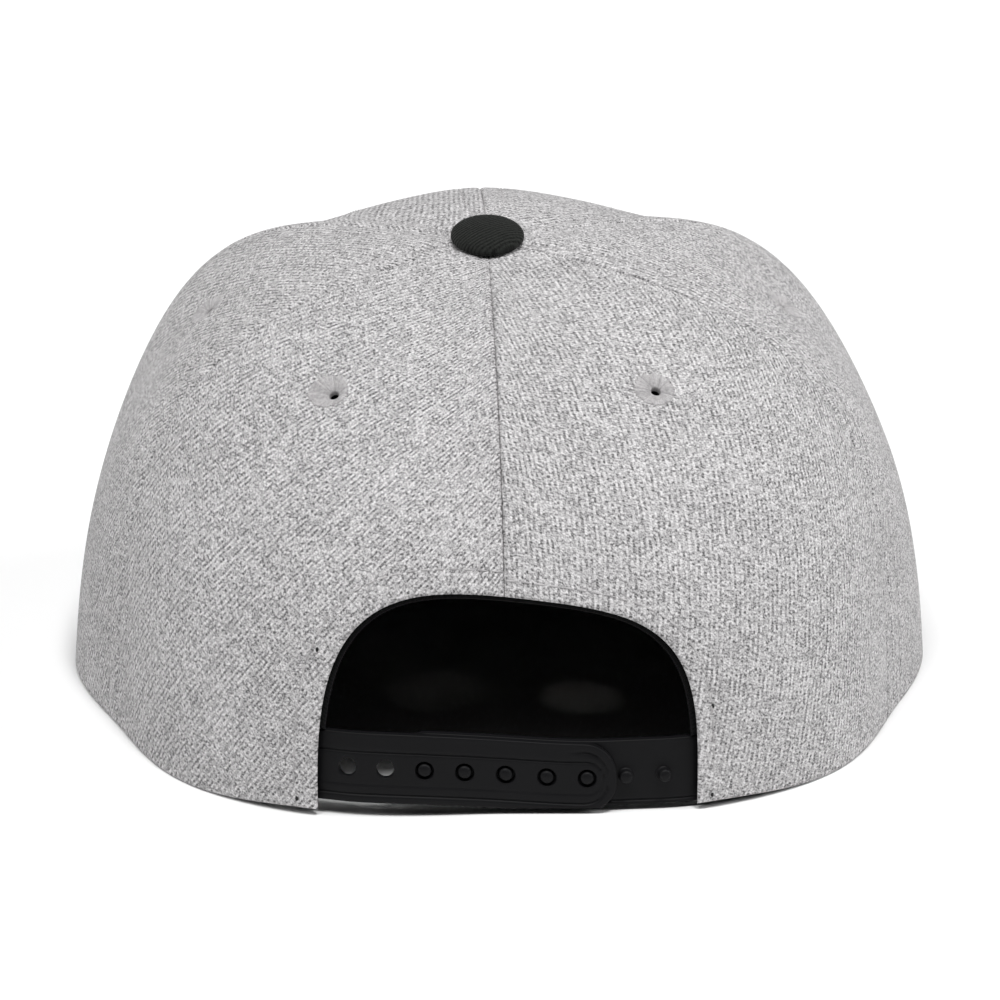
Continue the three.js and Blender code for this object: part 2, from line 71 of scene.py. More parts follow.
# Half-moon opening in the back
OPENING_HEIGHT = 50.0
OPENING_SLANT = 0.09
TAPE_WIDTH = 7.0
TAPE_SHOWS = 0.8
TAPE_THICKNESS = 0.8
TAPE_LIFT = 0.6

# Eyelets and button
EYELET_RADIUS = 4.6
EYELET_HOLE_RADIUS = 1.1
EYELET_THREADS = 44
EYELET_COVER = 0.4
DRILL_DEPTH = 20.0
BUTTON_RADIUS = 8.6
BUTTON_DOME = 3.6
BUTTON_EDGE = 0.8
BUTTON_TILT = 12.0
SHANK_RADIUS = 2.4
SHANK_LENGTH = 2.6
BUTTON_ROLL = 0.5
BUTTON_UNDER = 1.2
BUTTON_WEAVE_LEAN = -58.0
BUTTON_WEAVE_STRETCH = 0.02

# Brim
BRIM_LENGTH = 70.0
BRIM_HALF_WIDTH = 94.0
BRIM_THICKNESS = 3.2
BRIM_CORNER_AZIMUTH = 64.0
BRIM_CORNER_WIDTH = 3.0
BRIM_ARCH = 6.0
BRIM_SIDE_PULL = 1.07
BRIM_FRONT_PULL = 0.72
BRIM_SECTION_ROWS = 36
BRIM_STITCH_ROWS = 8
BRIM_FIRST_ROW = 4.0
BRIM_ROW_PITCH = 7.6
BRIM_ROOT_CLEAR = 3.0

# Snap strap
STRAP_HEIGHT = 16.3
STRAP_THICKNESS = 1.5
STRAP_FOOT = 0.4
STRAP_RISE = 3.0
RISE_START = -20.0
RISE_END = 30.0
STRAP_TUCK = 14.0
STRAP_END_RADIUS = 7.6
STRAP_END_RUN = 6.8
HOLE_PITCH = 9.1
HOLE_RADIUS = 2.1
PEG_RADIUS = 1.5
PEG_DOME = 0.75
PEG_FOOT = [(0.35, -0.3), (0.3, 0.0), (0.08, 0.12), (0.0, 0.35)]
PEG_PROUD = 0.4
LAP_BLEND = 0.25
RIM_WIDTH = 2.0
RIM_HEIGHT = 0.12
CHANNEL_HALF = 3.8
CHANNEL_DEPTH = 0.1
GROOVE_DEPTH = 0.3
GROOVE_WIDTH = 0.28
HOLE_PLACES = [4, 3, 2, 1, 0, -1, -2]
PEG_PLACES = [2, 1, 0, -1, -2, -3, -4]

# Relief of the strap's face: where the rim slopes, where it fades towards the sewn top, and rounded edges
RIM_SLOPE = (1.6, 1.9)
FADE_RUN = (6.0, 12.0)
FADE_HEIGHT = (2.0, 5.0)
CHANNEL_SLOPE = 0.35
LOW_GROOVE_SHARE = 0.25
STRAP_EDGE = (0.35, 0.3)
HOLE_EDGE = (0.25, 0.2)

# Sewing
FOLD_REACH = 1.3
FOLD_DEPTH = 0.75
NEEDLE_GAP = 6.0
NEEDLE_GROOVE = 0.26
NEEDLE_GROOVE_WIDTH = 0.55
STITCH_PITCH = 3.1
STITCH_LENGTH = 2.3
STITCH_WIDTH = 0.44
STITCH_SLEW = 0.06
EDGE_MARGIN = 10.0
MARGINS_IN_PANEL = 3
NEEDLE_LINE_CLEAR = 2.0
NEEDLE_LINE_RISES = np.linspace(0.02, 0.97, 260)
OPENING_LINE_ANGLES = np.linspace(2, 90, 200)
BRIM_LINE_SHARES = np.linspace(-0.985, 0.985, 600)

# Mesh steps from an edge in millimetres: fine at a fold and at its needle line, and fine at a hem
EDGE_STEPS = np.array([0, 0.1, 0.25, 0.45, 0.7, 1.0, 1.4, 2.0, 2.9, 4.0, 4.9,
                       5.4, 5.7, 6.0, 6.3, 6.6, 7.1, 8.0])
HEM_STEPS = np.array([0, 0.05, 0.15, 0.35, 0.6, 0.9, 1.5, 2.4])
TOP_STEPS = np.array([0.0, 2.0])
GRID_STRIDE = 2.0
ARCH_STRIDE = 1.4
ARCH_SAMPLES = 241
BACK_TOP_SHARE = 0.16
BACK_SEAM_LENGTH = 115.0
MEASURE_ROWS = 121
MEASURE_COLUMNS = 33

# Section of an eyelet from its hole outwards
EYELET_SECTION = {
    "radius": [1.1, 1.1, 1.25, 1.6, 2.2, 2.9, 3.6, 4.2, 4.5, 4.65, 4.6, 4.4],
    "height": [-2.2, -1.25, -0.95, -0.68, -0.42, -0.20, -0.04, 0.05, 0.05, -0.12, -1.0, -2.2],
    "relief": [0, 0.05, 0.10, 0.12, 0.14, 0.15, 0.16, 0.15, 0.12, 0.05, 0, 0],
}
THREAD_SEGMENTS = 6
THREAD_SPREAD = 0.06
THREAD_UNEVEN = 0.35
UNEVEN_RADII = (3.0, 4.2)

# Small dark knots where the tape's sewing ends: side, distance from the back seam and height
KNOTS = [(0, 41.5, 38.5), (0, 46.8, 3.8), (1, 46.3, 24.3), (1, 46.5, 3.4)]
KNOT_PROFILE = [(0.55, -0.4), (0.55, 0.0), (0.45, 0.12), (0.2, 0.2)]
KNOT_NARROWING = 0.7

# Stations round the crown: each column of numbers belongs to the azimuths above it
STATIONS = {
    "azimuth": [0, 30, 46, 62, 88, 113, 136, 158, 180],
    "reach": [0.95, 0.96, 0.97, 0.98, 1.02, 0.99, 1.05, 1.03, 0.97],
    "wall_reach": [1.03, 1.01, 1.00, 0.93, 0.95, 0.98, 0.98, 0.99, 1.01],
    "wall_height": [0.66, 0.63, 0.68, 0.84, 0.53, 0.59, 0.55, 0.58, 0.60],
    "crest_reach": [0.60, 0.70, 0.83, 0.90, 0.82, 0.92, 0.78, 0.69, 0.65],
    "crest_height": [1.17, 1.11, 1.03, 1.01, 1.04, 0.95, 0.94, 0.91, 0.89],
}

# Panels of one side. left and right place the eyelet across the panel, twill_left and twill_right are
# the lean of the weave's ribs from the panel's middle line, in degrees clockwise seen from outside, and
# hole_left and hole_right are how far the eyelet's hole is off its middle, in millimetres to the right.
PANELS = [
    {"name": "front", "start": 0.0, "end": FRONT_SIDE_SEAM, "left": 0.50, "right": 0.50,
     "eyelet_rise": 0.64, "twill_left": 30.0, "twill_right": 24.0,
     "hole_left": 0.4, "hole_right": -0.3},
    {"name": "side", "start": FRONT_SIDE_SEAM, "end": SIDE_BACK_SEAM, "left": 0.53, "right": 0.56,
     "eyelet_rise": 0.63, "twill_left": 30.0, "twill_right": 24.0,
     "hole_left": -0.4, "hole_right": 0.5},
    {"name": "back", "start": SIDE_BACK_SEAM, "end": 180.0, "left": 0.44, "right": 0.51,
     "eyelet_rise": 0.65, "twill_left": 38.0, "twill_right": 14.0,
     "hole_left": 1.3, "hole_right": 0.7},
]
SIDES = [
    {"name": "left", "sign": 1.0, "spread": 0.97, "half_width": 42.4, "roundness": 3.1, "edge_stitch": 4.9},
    {"name": "right", "sign": -1.0, "spread": 1.03, "half_width": 43.4, "roundness": 4.0, "edge_stitch": 3.3},
]
BACK = PANELS[2]
FRONT = PANELS[0]
FLAT = np.array([1, 1, 0])

# Camera, lights and floor: angles in degrees, and distances in metres where no unit is named
FOCAL_PIXELS = 5460
PHOTO_PIXELS = 1000
CAMERA_AZIMUTH = 182.6
CAMERA_ELEVATION = 20.5
CAMERA_DISTANCE = 1.3
CAMERA_TARGET_MM = [-3, 0, 40]
LIGHT_DISTANCE = 2.0
LIGHT_TARGET_MM = [0, 0, 50]
FLOOR_HALF = 6.0

# The crown's axis in the frame, found from the button and from the front of the brim
button_low, button_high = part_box("button")
brim_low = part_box("brim")[0]
BRIM_FRONT = -CROWN_REACH * STATIONS["reach"][0] - BRIM_LENGTH
CROWN_X = (button_low.x + button_high.x) / 2
CROWN_Y = brim_low.y - BRIM_FRONT / 1000


# Points in millimetres about the crown's axis, turned into the frame's metres
def to_frame(points):
    return np.asarray(points, float) / 1000 + np.array([CROWN_X, CROWN_Y, 0.0])


def smooth_step(value, low, high):
    share = np.clip((value - low) / (high - low), 0, 1)
    return share * share * (3 - 2 * share)


# Where a rising function passes a level, for arrays
def solve(function, low, high, level):
    low = np.broadcast_to(np.asarray(low, float), np.shape(level)).copy()
    high = np.broadcast_to(np.asarray(high, float), np.shape(level)).copy()
    for _ in range(HALVINGS):
        middle = (low + high) / 2
        below = function(middle) < level
        low = np.where(below, middle, low)
        high = np.where(below, high, middle)
    return (low + high) / 2


# One column of the stations table at any azimuth, smooth and flat at both ends
def station_value(azimuth, column):
    knots = np.array(STATIONS["azimuth"], float)
    values = np.array(STATIONS[column])
    slopes = np.zeros(len(knots))
    slopes[1:-1] = (values[2:] - values[:-2]) / (knots[2:] - knots[:-2])
    index = np.clip(np.searchsorted(knots, azimuth, side="right") - 1, 0, len(knots) - 2)
    span = knots[index + 1] - knots[index]
    u = (azimuth - knots[index]) / span
    start = values[index] * (2 * u ** 3 - 3 * u ** 2 + 1)
    end = values[index + 1] * (3 * u ** 2 - 2 * u ** 3)
    bend = slopes[index] * (u ** 3 - 2 * u ** 2 + u) + slopes[index + 1] * (u ** 3 - u ** 2)
    return start + end + span * bend


# Height of the hem over the surface that the cap rests on
def hem_height(azimuth):
    front = FRONT_LIFT * np.cos(np.radians(90 * np.minimum(azimuth, LIFT_AZIMUTH) / LIFT_AZIMUTH)) ** 2
    back = BACK_LIFT * smooth_step(azimuth, BACK_LIFT_START, BACK_LIFT_END)
    return np.where(azimuth < LIFT_AZIMUTH, front, back)


# Point on the crown's outer face. rise runs from 0 at the hem to 1 under the button.
def crown_point(side, panel, azimuth, rise):
    azimuth, rise = np.broadcast_arrays(np.asarray(azimuth, float), np.asarray(rise, float))
    fall = 1 - rise
    wall_part = 3 * rise * fall ** 2
    crest_part = 3 * rise ** 2 * fall
    share = fall ** 3 + wall_part * station_value(azimuth, "wall_reach")
    share = share + crest_part * station_value(azimuth, "crest_reach")
    if panel:
        across = (azimuth - panel["start"]) / (panel["end"] - panel["start"])
        swell = 16 * across * (1 - across) * rise * (1 - rise)
        share = share * (1 + PANEL_SWELL * swell / CROWN_REACH)
    climb = wall_part * station_value(azimuth, "wall_height")
    climb = climb + crest_part * station_value(azimuth, "crest_height") + rise ** 3
    reach = CROWN_REACH * station_value(azimuth, "reach")
    x = side["sign"] * side["spread"] * reach * np.sin(np.radians(azimuth)) * share
    y = BUTTON_SET_BACK + (-reach * np.cos(np.radians(azimuth)) - BUTTON_SET_BACK) * share
    foot = hem_height(azimuth)
    return np.stack([x, y, foot + (CROWN_HEIGHT - foot) * climb], -1)


def unit(vectors):
    return vectors / np.maximum(np.linalg.norm(vectors, axis=-1, keepdims=True), 1e-12)


# Point on the crown, with its direction round the crown, its direction up it, and its outward normal
def crown_frame(side, panel, azimuth, rise):
    probe = 0.01
    around = crown_point(side, panel, azimuth + probe, rise) - crown_point(side, panel, azimuth - probe, rise)
    low = np.maximum(rise - probe, 0)
    high = np.minimum(rise + probe, 1)
    up = unit(crown_point(side, panel, azimuth, high) - crown_point(side, panel, azimuth, low))
    around = unit(around)
    return crown_point(side, panel, azimuth, rise), around, up, unit(np.cross(around, up)) * side["sign"]


# Rise at which a section is at a height
def rise_at_height(side, azimuth, height):
    azimuth, height = np.broadcast_arrays(np.asarray(azimuth, float), np.asarray(height, float))
    return solve(lambda rise: crown_point(side, None, azimuth, rise)[..., 2], 0, WALL_RISE, height)


# Rise at which a section reaches the hole under the button
def rise_at_top_hole(side, azimuth):
    def inward(rise):
        point = crown_point(side, None, azimuth, rise)
        return -np.hypot(point[..., 0], point[..., 1] - BUTTON_SET_BACK)
    return solve(inward, CROWN_RISE, 1, np.full(np.shape(azimuth), -TOP_HOLE_RADIUS))


# Azimuth and rise on the back wall at distances from the back seam and heights
def back_wall_place(side, x, height):
    def inward(azimuth):
        return -np.abs(crown_point(side, None, azimuth, rise_at_height(side, azimuth, height))[..., 0])
    azimuth = solve(inward, SIDE_BACK_SEAM, 180, -np.asarray(x, float))
    return azimuth, rise_at_height(side, azimuth, height)


# The same place as a point with its axes
def back_wall_frame(side, x, height):
    return crown_frame(side, BACK, *back_wall_place(side, x, height))


# Outline of the half-moon opening: angle 0 at its foot, 90 at its top
def opening_outline(side, angle, margin):
    power = 2 / side["roundness"]
    across = np.cos(np.radians(angle)) ** power
    up = np.sin(np.radians(angle)) ** power
    slant = 1 + side["sign"] * OPENING_SLANT * across
    return (side["half_width"] + margin) * across, (OPENING_HEIGHT + margin) * up * slant


# Azimuth at a share of the way across a panel
def across_panel(panel, share):
    return panel["start"] + share * (panel["end"] - panel["start"])


# Length along a line of points, up to each of them
def running_length(line):
    return np.concatenate([[0], np.cumsum(np.linalg.norm(np.diff(line, axis=0), axis=-1))])


# Across-panel measures: the panel's width at each rise, and its middle line's length up to each rise
class PanelMeasure:
    def __init__(self, side, panel):
        self.side = side
        self.panel = panel
        self.rises = np.linspace(0, 1, MEASURE_ROWS)
        azimuths = np.linspace(panel["start"], panel["end"], MEASURE_COLUMNS)
        points = crown_point(side, panel, azimuths[:, None], self.rises[None, :])
        self.widths = np.linalg.norm(np.diff(points, axis=0), axis=-1).sum(0)
        self.lengths = running_length(points[MEASURE_COLUMNS // 2])
        self.full = self.widths.max()

    def width(self, rise):
        return np.interp(rise, self.rises, self.widths)

    def length(self, rise):
        return np.interp(rise, self.rises, self.lengths)

    # How much the margins beside the seams narrow where the panel is narrow
    def narrowing(self, rise):
        return np.minimum(1, self.width(rise) / (MARGINS_IN_PANEL * EDGE_MARGIN))

    # Width, margin beside each seam, and stretch of what lies between the margins
    def bands(self, rise):
        width = self.width(rise)
        margin = self.narrowing(rise) * EDGE_MARGIN
        return width, margin, (width - 2 * margin) / (self.full - 2 * EDGE_MARGIN)

    # Distance from the panel's front seam, from the place that it has where the panel is widest
    def distance(self, place, rise):
        width, margin, stretch = self.bands(rise)
        near = place * margin / EDGE_MARGIN
        far = width - (self.full - place) * margin / EDGE_MARGIN
        middle = margin + (place - EDGE_MARGIN) * stretch
        return np.where(place < EDGE_MARGIN, near, np.where(place > self.full - EDGE_MARGIN, far, middle))

    # The reverse of distance
    def place(self, distance, rise):
        width, margin, stretch = self.bands(rise)
        near = distance * EDGE_MARGIN / margin
        far = self.full - (width - distance) * EDGE_MARGIN / margin
        middle = EDGE_MARGIN + (distance - margin) / stretch
        return np.where(distance < margin, near, np.where(distance > width - margin, far, middle))

    def azimuth(self, distance, rise):
        return across_panel(self.panel, np.clip(distance / np.maximum(self.width(rise), 1e-9), 0, 1))


# Places between two edges, with fine steps near the edges that ask for them
def spread_places(length, near_steps, far_steps, stride):
    inner_low = near_steps[-1]
    inner_high = length - far_steps[-1]
    count = max(int(round((inner_high - inner_low) / stride)), 1)
    middle = np.linspace(inner_low, inner_high, count + 1)[1:-1]
    return np.concatenate([near_steps, middle, length - far_steps[::-1]])


# Depth by which a rounded edge falls away, at a distance from it
def rounding(distance, radius, depth):
    left = np.clip(1 - distance / radius, 0, 1)
    return depth * (1 - np.sqrt(1 - left ** 2))


# How far the cloth's outer face lies inside the plain crown, from its folds and needle lines
def sewn_depth(measure, distance, rise):
    width = measure.width(rise)
    scale = measure.narrowing(rise)
    depth = np.zeros(np.shape(distance))
    for gap in (distance, width - distance):
        depth = depth + rounding(gap, FOLD_REACH * scale, FOLD_DEPTH * scale)
        off_line = (gap - NEEDLE_GAP * scale) / NEEDLE_GROOVE_WIDTH
        depth = depth + NEEDLE_GROOVE * np.exp(-off_line ** 2)
    return depth


# Places and rises of a front or side panel's grid, and each point's distance to its lower edge
def plain_panel_grid(measure):
    height = measure.lengths[-1]
    places = spread_places(measure.full, EDGE_STEPS, EDGE_STEPS, GRID_STRIDE)
    rows = spread_places(height, HEM_STEPS, TOP_STEPS, GRID_STRIDE) / height
    tops = rise_at_top_hole(measure.side, across_panel(measure.panel, places / measure.full))
    place = np.repeat(places[:, None], len(rows), 1)
    return place, rows[None, :] * tops[:, None], rows[None, :] * height * np.ones_like(place)


# The same for a back panel, whose grid runs from the opening's edge out to the side seam and the top
def back_panel_grid(measure):
    side = measure.side
    x, height = opening_outline(side, np.linspace(90, 0, ARCH_SAMPLES), 0)
    arch_azimuth, arch_rise = back_wall_place(side, x, np.maximum(height, BACK_LIFT))
    arch_run = running_length(crown_point(side, BACK, arch_azimuth, arch_rise))
    runs = spread_places(arch_run[-1], EDGE_STEPS, HEM_STEPS, ARCH_STRIDE)
    near_rise = np.interp(runs, arch_run, arch_rise)
    across = (np.interp(runs, arch_run, arch_azimuth) - BACK["start"]) / (BACK["end"] - BACK["start"])
    near_place = measure.place(across * measure.width(near_rise), near_rise)

    t = runs / arch_run[-1]
    along_top = t / BACK_TOP_SHARE
    seam_top = rise_at_top_hole(side, np.array(SIDE_BACK_SEAM))
    back_top = rise_at_top_hole(side, np.array(180.0))
    far_place = np.where(along_top < 1, measure.full * (1 - along_top), 0)
    far_rise = np.where(along_top < 1, back_top + (seam_top - back_top) * along_top,
                        seam_top * (1 - t) / (1 - BACK_TOP_SHARE))

    lengths = BACK_SEAM_LENGTH + (measure.full - side["half_width"] - BACK_SEAM_LENGTH) * t
    columns = [spread_places(length, HEM_STEPS, EDGE_STEPS, GRID_STRIDE) for length in lengths]
    rows = min(len(column) for column in columns)
    picks = [np.round(np.linspace(0, len(column) - 1, rows)).astype(int) for column in columns]
    edge = np.array([column[pick] for column, pick in zip(columns, picks)])
    share = edge / lengths[:, None]
    place = (1 - share) * near_place[:, None] + share * far_place[:, None]
    return place, (1 - share) * near_rise[:, None] + share * far_rise[:, None], edge


# Quads of a grid whose points are numbered column by column
def grid_faces(columns, rows, flip):
    faces = []
    for i in range(columns - 1):
        for j in range(rows - 1):
            a = i * rows + j
            quad = [a, a + rows, a + rows + 1, a + 1]
            faces.append(quad[::-1] if flip else quad)
    return faces


# Quads between rings of points. A closed chain of rings joins its last one to its first.
def ring_faces(rings, segments, closed=False):
    faces = []
    for j in range(rings if closed else rings - 1):
        low = j * segments
        high = (j + 1) % rings * segments
        for i in range(segments):
            after = (i + 1) % segments
            faces.append([low + i, low + after, high + after, high + i])
    return faces


# The same as a solid, with its first and last rings filled in
def capped_rings(rings, segments):
    last = (rings - 1) * segments
    caps = [list(range(segments))[::-1], list(range(last, last + segments))]
    return ring_faces(rings, segments) + caps


# A closed sheet from faces that two sets of points share: outer and inner faces, with walls between
def closed_sheet(faces, count):
    inner = [[index + count for index in reversed(face)] for face in faces]
    edges = dict.fromkeys((a, b) for face in faces for a, b in zip(face, face[1:] + face[:1]))
    walls = [[b, a, a + count, b + count] for a, b in edges if (b, a) not in edges]
    return faces + inner + walls


# The same from the grids of points of its two faces
def sheet_between(outer, inner, flip):
    columns, rows = outer.shape[:2]
    points = np.concatenate([outer.reshape(-1, 3), inner.reshape(-1, 3)])
    return points, closed_sheet(grid_faces(columns, rows, flip), columns * rows)


# A new mesh object from points in millimetres about the crown's axis
def make_object(name, points, faces, materials, face_materials=None, weave=None, sharp=40):
    mesh = bpy.data.meshes.new(name)
    mesh.from_pydata([tuple(point) for point in to_frame(points)], [], faces)
    for material in materials:
        mesh.materials.append(material)
    if face_materials is not None:
        mesh.polygons.foreach_set("material_index", np.asarray(face_materials, np.int32))
    if weave is not None:
        layer = mesh.uv_layers.new(name="weave")
        loops = np.zeros(len(mesh.loops), np.int32)
        mesh.loops.foreach_get("vertex_index", loops)
        layer.data.foreach_set("uv", np.asarray(weave, np.float32)[loops].ravel())
    shell = bmesh.new()
    shell.from_mesh(mesh)
    bmesh.ops.remove_doubles(shell, verts=shell.verts, dist=2e-6)
    bmesh.ops.dissolve_degenerate(shell, edges=shell.edges, dist=1e-6)
    bmesh.ops.recalc_face_normals(shell, faces=shell.faces)
    shell.to_mesh(mesh)
    shell.free()
    mesh.shade_smooth()
    mesh.set_sharp_from_angle(angle=math.radians(sharp))
    piece = bpy.data.objects.new(name, mesh)
    bpy.context.scene.collection.objects.link(piece)
    return piece


# A piece that rides on the body and stands for the named nodes, which it hides. Its slot is not used.
def dress(piece, slot, *nodes):
    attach(piece, "root")
    if nodes:
        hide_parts(*nodes)


# Node helpers
def add_node(tree, kind, inputs=None, **settings):
    node = tree.nodes.new(kind)
    for key, value in settings.items():
        setattr(node, key, value)
    for key, value in (inputs or {}).items():
        if isinstance(value, bpy.types.NodeSocket):
            tree.links.new(value, node.inputs[key])
        else:
            node.inputs[key].default_value = value
    return node


def calc(tree, operation, *values):
    return add_node(tree, "ShaderNodeMath", dict(enumerate(values)), operation=operation).outputs[0]


def noise(tree, vector, scale, detail, roughness=0.5):
    inputs = {"Vector": vector, "Scale": scale, "Detail": detail, "Roughness": roughness}
    return add_node(tree, "ShaderNodeTexNoise", inputs).outputs["Fac"]


def centred_noise(tree, vector, scale, detail, roughness=0.5):
    return calc(tree, "SUBTRACT", noise(tree, vector, scale, detail, roughness), 0.5)


# A start value plus parts, each times its own weight
def weigh(tree, total, *parts):
    for value, weight in parts:
        total = calc(tree, "ADD", total, calc(tree, "MULTIPLY", value, weight))
    return total


def new_material(name, **settings):
    material = bpy.data.materials.new(name)
    material.use_nodes = True
    shader = material.node_tree.nodes["Principled BSDF"]
    for key, value in settings.items():
        shader.inputs[key.replace("_", " ")].default_value = value
    return material, material.node_tree, shader


# Colours a surface from dark to light by a share from 0 to 1
def paint(tree, shader, share, dark, light):
    inputs = {0: share, 6: (*dark, 1), 7: (*light, 1)}
    mix = add_node(tree, "ShaderNodeMix", inputs, data_type="RGBA", clamp_factor=True)
    tree.links.new(mix.outputs[2], shader.inputs["Base Color"])


def add_bump(tree, shader, height, distance, strength):
    inputs = {"Height": height, "Distance": distance, "Strength": strength}
    tree.links.new(add_node(tree, "ShaderNodeBump", inputs).outputs[0], shader.inputs["Normal"])


# The weave coordinates of a surface, whole and as their two parts
def weave_nodes(tree):
    place = add_node(tree, "ShaderNodeUVMap", uv_map="weave").outputs["UV"]
    parts = add_node(tree, "ShaderNodeSeparateXYZ", {"Vector": place}).outputs
    return place, parts["X"], parts["Y"]


# A random number of its own for each cell
def own_number(tree, dimensions, inputs):
    return add_node(tree, "ShaderNodeTexWhiteNoise", inputs, noise_dimensions=dimensions).outputs["Value"]


# Length of a twill's yarns in pitches, each row's shift in yarns, and the sway of its ribs in millimetres
YARN_LENGTH = 0.55
ROW_SHIFT = 0.37
RIB_SWAY = 1.2

# Noise in the materials: scale, detail and, where it isn't 0.5, roughness
SWAY_NOISE = (0.22, 2.0)
FLECK_NOISE = (2.4, 1.0)
SHADE_NOISE = (0.05, 3.0, 0.6)
GRAIN_NOISE = (2600.0, 2.0)
PATCH_NOISE = (90.0, 2.0)
STRAND_NOISE = (1400.0, 3.0, 0.7)


# A twill: ribs across, short yarns along each of them, flecks and broad shades. dark and light are colours.
# The ribs' tone is painted shade, lighter on their bumps and darker in the grooves between them.
def twill_material(name, dark, light, pitch, rib_painted_shade, yarn, fleck, shade, relief, **settings):
    material, tree, shader = new_material(name, **settings)
    place, across, along = weave_nodes(tree)
    across = weigh(tree, across, (centred_noise(tree, place, *SWAY_NOISE), RIB_SWAY))
    turns = calc(tree, "MULTIPLY", across, 1 / pitch)
    wave = calc(tree, "SINE", calc(tree, "MULTIPLY", turns, 2 * math.pi))
    row = calc(tree, "FLOOR", calc(tree, "MULTIPLY", turns, 2.0))
    step = weigh(tree, 0.0, (along, 1 / (YARN_LENGTH * pitch)), (row, ROW_SHIFT))
    cell = add_node(tree, "ShaderNodeCombineXYZ", {"X": row, "Y": calc(tree, "FLOOR", step)}).outputs[0]
    own_tone = own_number(tree, "2D", {"Vector": cell})
    inside = calc(tree, "FRACT", step)
    hump = calc(tree, "MULTIPLY", calc(tree, "MULTIPLY", inside, calc(tree, "SUBTRACT", 1.0, inside)), 4.0)
    yarn_tone = calc(tree, "MULTIPLY", calc(tree, "SUBTRACT", own_tone, 0.5), hump)
    fine = centred_noise(tree, place, *FLECK_NOISE)
    broad = centred_noise(tree, place, *SHADE_NOISE)
    # The wave's weight of tone is painted shade: it darkens the grooves of the same wave's bump below
    tone = weigh(tree, 0.5, (wave, rib_painted_shade), (yarn_tone, yarn), (fine, fleck), (broad, shade))
    paint(tree, shader, tone, dark, light)
    height = weigh(tree, 0.0, (wave, 0.35), (yarn_tone, 0.5), (fine, 0.8))
    add_bump(tree, shader, height, relief, 1.0)
    return material


# Moulded plastic: a fine grain and slightly uneven gloss
def plastic_material(name, colour):
    material, tree, shader = new_material(name, Base_Color=(*colour, 1), Specular_IOR_Level=0.12)
    place = add_node(tree, "ShaderNodeTexCoord").outputs["Object"]
    patches = noise(tree, place, *PATCH_NOISE)
    gloss = add_node(tree, "ShaderNodeMapRange", {"Value": patches, "To Min": 0.42, "To Max": 0.56})
    tree.links.new(gloss.outputs[0], shader.inputs["Roughness"])
    add_bump(tree, shader, noise(tree, place, *GRAIN_NOISE), 0.00002, 0.5)
    paint(tree, shader, patches, [0.8 * value for value in colour], [1.25 * value for value in colour])
    return material


# Sewing thread: each thread has its own tone, with fine strands and a little shine
def thread_material(name, dark, light):
    material, tree, shader = new_material(name, Roughness=0.7, Specular_IOR_Level=0.2)
    own_tone = own_number(tree, "1D", {"W": calc(tree, "FLOOR", weave_nodes(tree)[1])})
    place = add_node(tree, "ShaderNodeTexCoord").outputs["Object"]
    strands = centred_noise(tree, place, *STRAND_NOISE)
    paint(tree, shader, weigh(tree, 0.25, (own_tone, 0.5), (strands, 2.0)), dark, light)
    add_bump(tree, shader, strands, 0.00008, 0.6)
    return material


HEATHER = twill_material("heather_twill", (0.10, 0.098, 0.099), (0.76, 0.745, 0.752), 1.2,
                         rib_painted_shade=0.13, yarn=0.75, fleck=1.5, shade=0.25, relief=0.00014,
                         Roughness=0.95, Specular_IOR_Level=0.15, Sheen_Weight=0.08)
BLACK_TWILL = twill_material("black_twill", (0.0015, 0.0018, 0.0015), (0.0185, 0.0205, 0.018), 0.85,
                             rib_painted_shade=0.34, yarn=0.55, fleck=0.5, shade=0.15, relief=0.00022,
                             Roughness=0.9, Specular_IOR_Level=0.2, Sheen_Weight=0.05)
# Inside of the crown's panels: near-black painted shade for the dark inside of the crown, where the cloth's
# own reverse is lighter grey
PAINTED_SHADE_LINING = twill_material("painted_shade_lining", (0.003, 0.003, 0.0034), (0.010, 0.010, 0.011), 0.7,
                             rib_painted_shade=0.25, yarn=0.2, fleck=0.4, shade=0.2, relief=0.0001,
                             Roughness=0.95, Specular_IOR_Level=0.1)
DARK_TAPE = twill_material("dark_tape", (0.0015, 0.0015, 0.0016), (0.006, 0.006, 0.0065), 0.8,
                           rib_painted_shade=0.3, yarn=0.3, fleck=0.4, shade=0.1, relief=0.00015,
                           Roughness=0.9, Specular_IOR_Level=0.2)
PLASTIC = plastic_material("strap_plastic", (0.0055, 0.0055, 0.0062))
GREY_THREAD = thread_material("grey_thread", (0.30, 0.292, 0.296), (0.56, 0.545, 0.55))
BLACK_THREAD = thread_material("black_thread", (0.006, 0.006, 0.006), (0.03, 0.03, 0.03))


# Weave coordinates in millimetres: across the ribs and along them
def weave_places(measure, distance, rise):
    side = measure.side
    lean = math.radians(measure.panel["twill_" + side["name"]])
    u = side["sign"] * (distance - measure.width(rise) / 2)
    v = measure.length(rise)
    return np.stack([u * math.cos(lean) - v * math.sin(lean), u * math.sin(lean) + v * math.cos(lean)], -1)


# Points of a panel's outer and inner faces from places, rises and distances to its lower edge
def panel_faces(measure, place, rise, edge):
    distance = measure.distance(place, rise)
    azimuth = measure.azimuth(distance, rise)
    point, _, _, normal = crown_frame(measure.side, measure.panel, azimuth, rise)
    round_edge = rounding(np.minimum(edge, point[..., 2] - hem_height(azimuth)), WALL / 2, WALL / 2)
    outer_depth = np.maximum(sewn_depth(measure, distance, rise), round_edge)
    outer = point - normal * outer_depth[..., None]
    inner = point - normal * (WALL - round_edge)[..., None]
    return outer, inner, weave_places(measure, distance, rise)


def eyelet_frame(side, panel):
    azimuth = np.array(across_panel(panel, panel[side["name"]]))
    return crown_frame(side, panel, azimuth, np.array(panel["eyelet_rise"]))


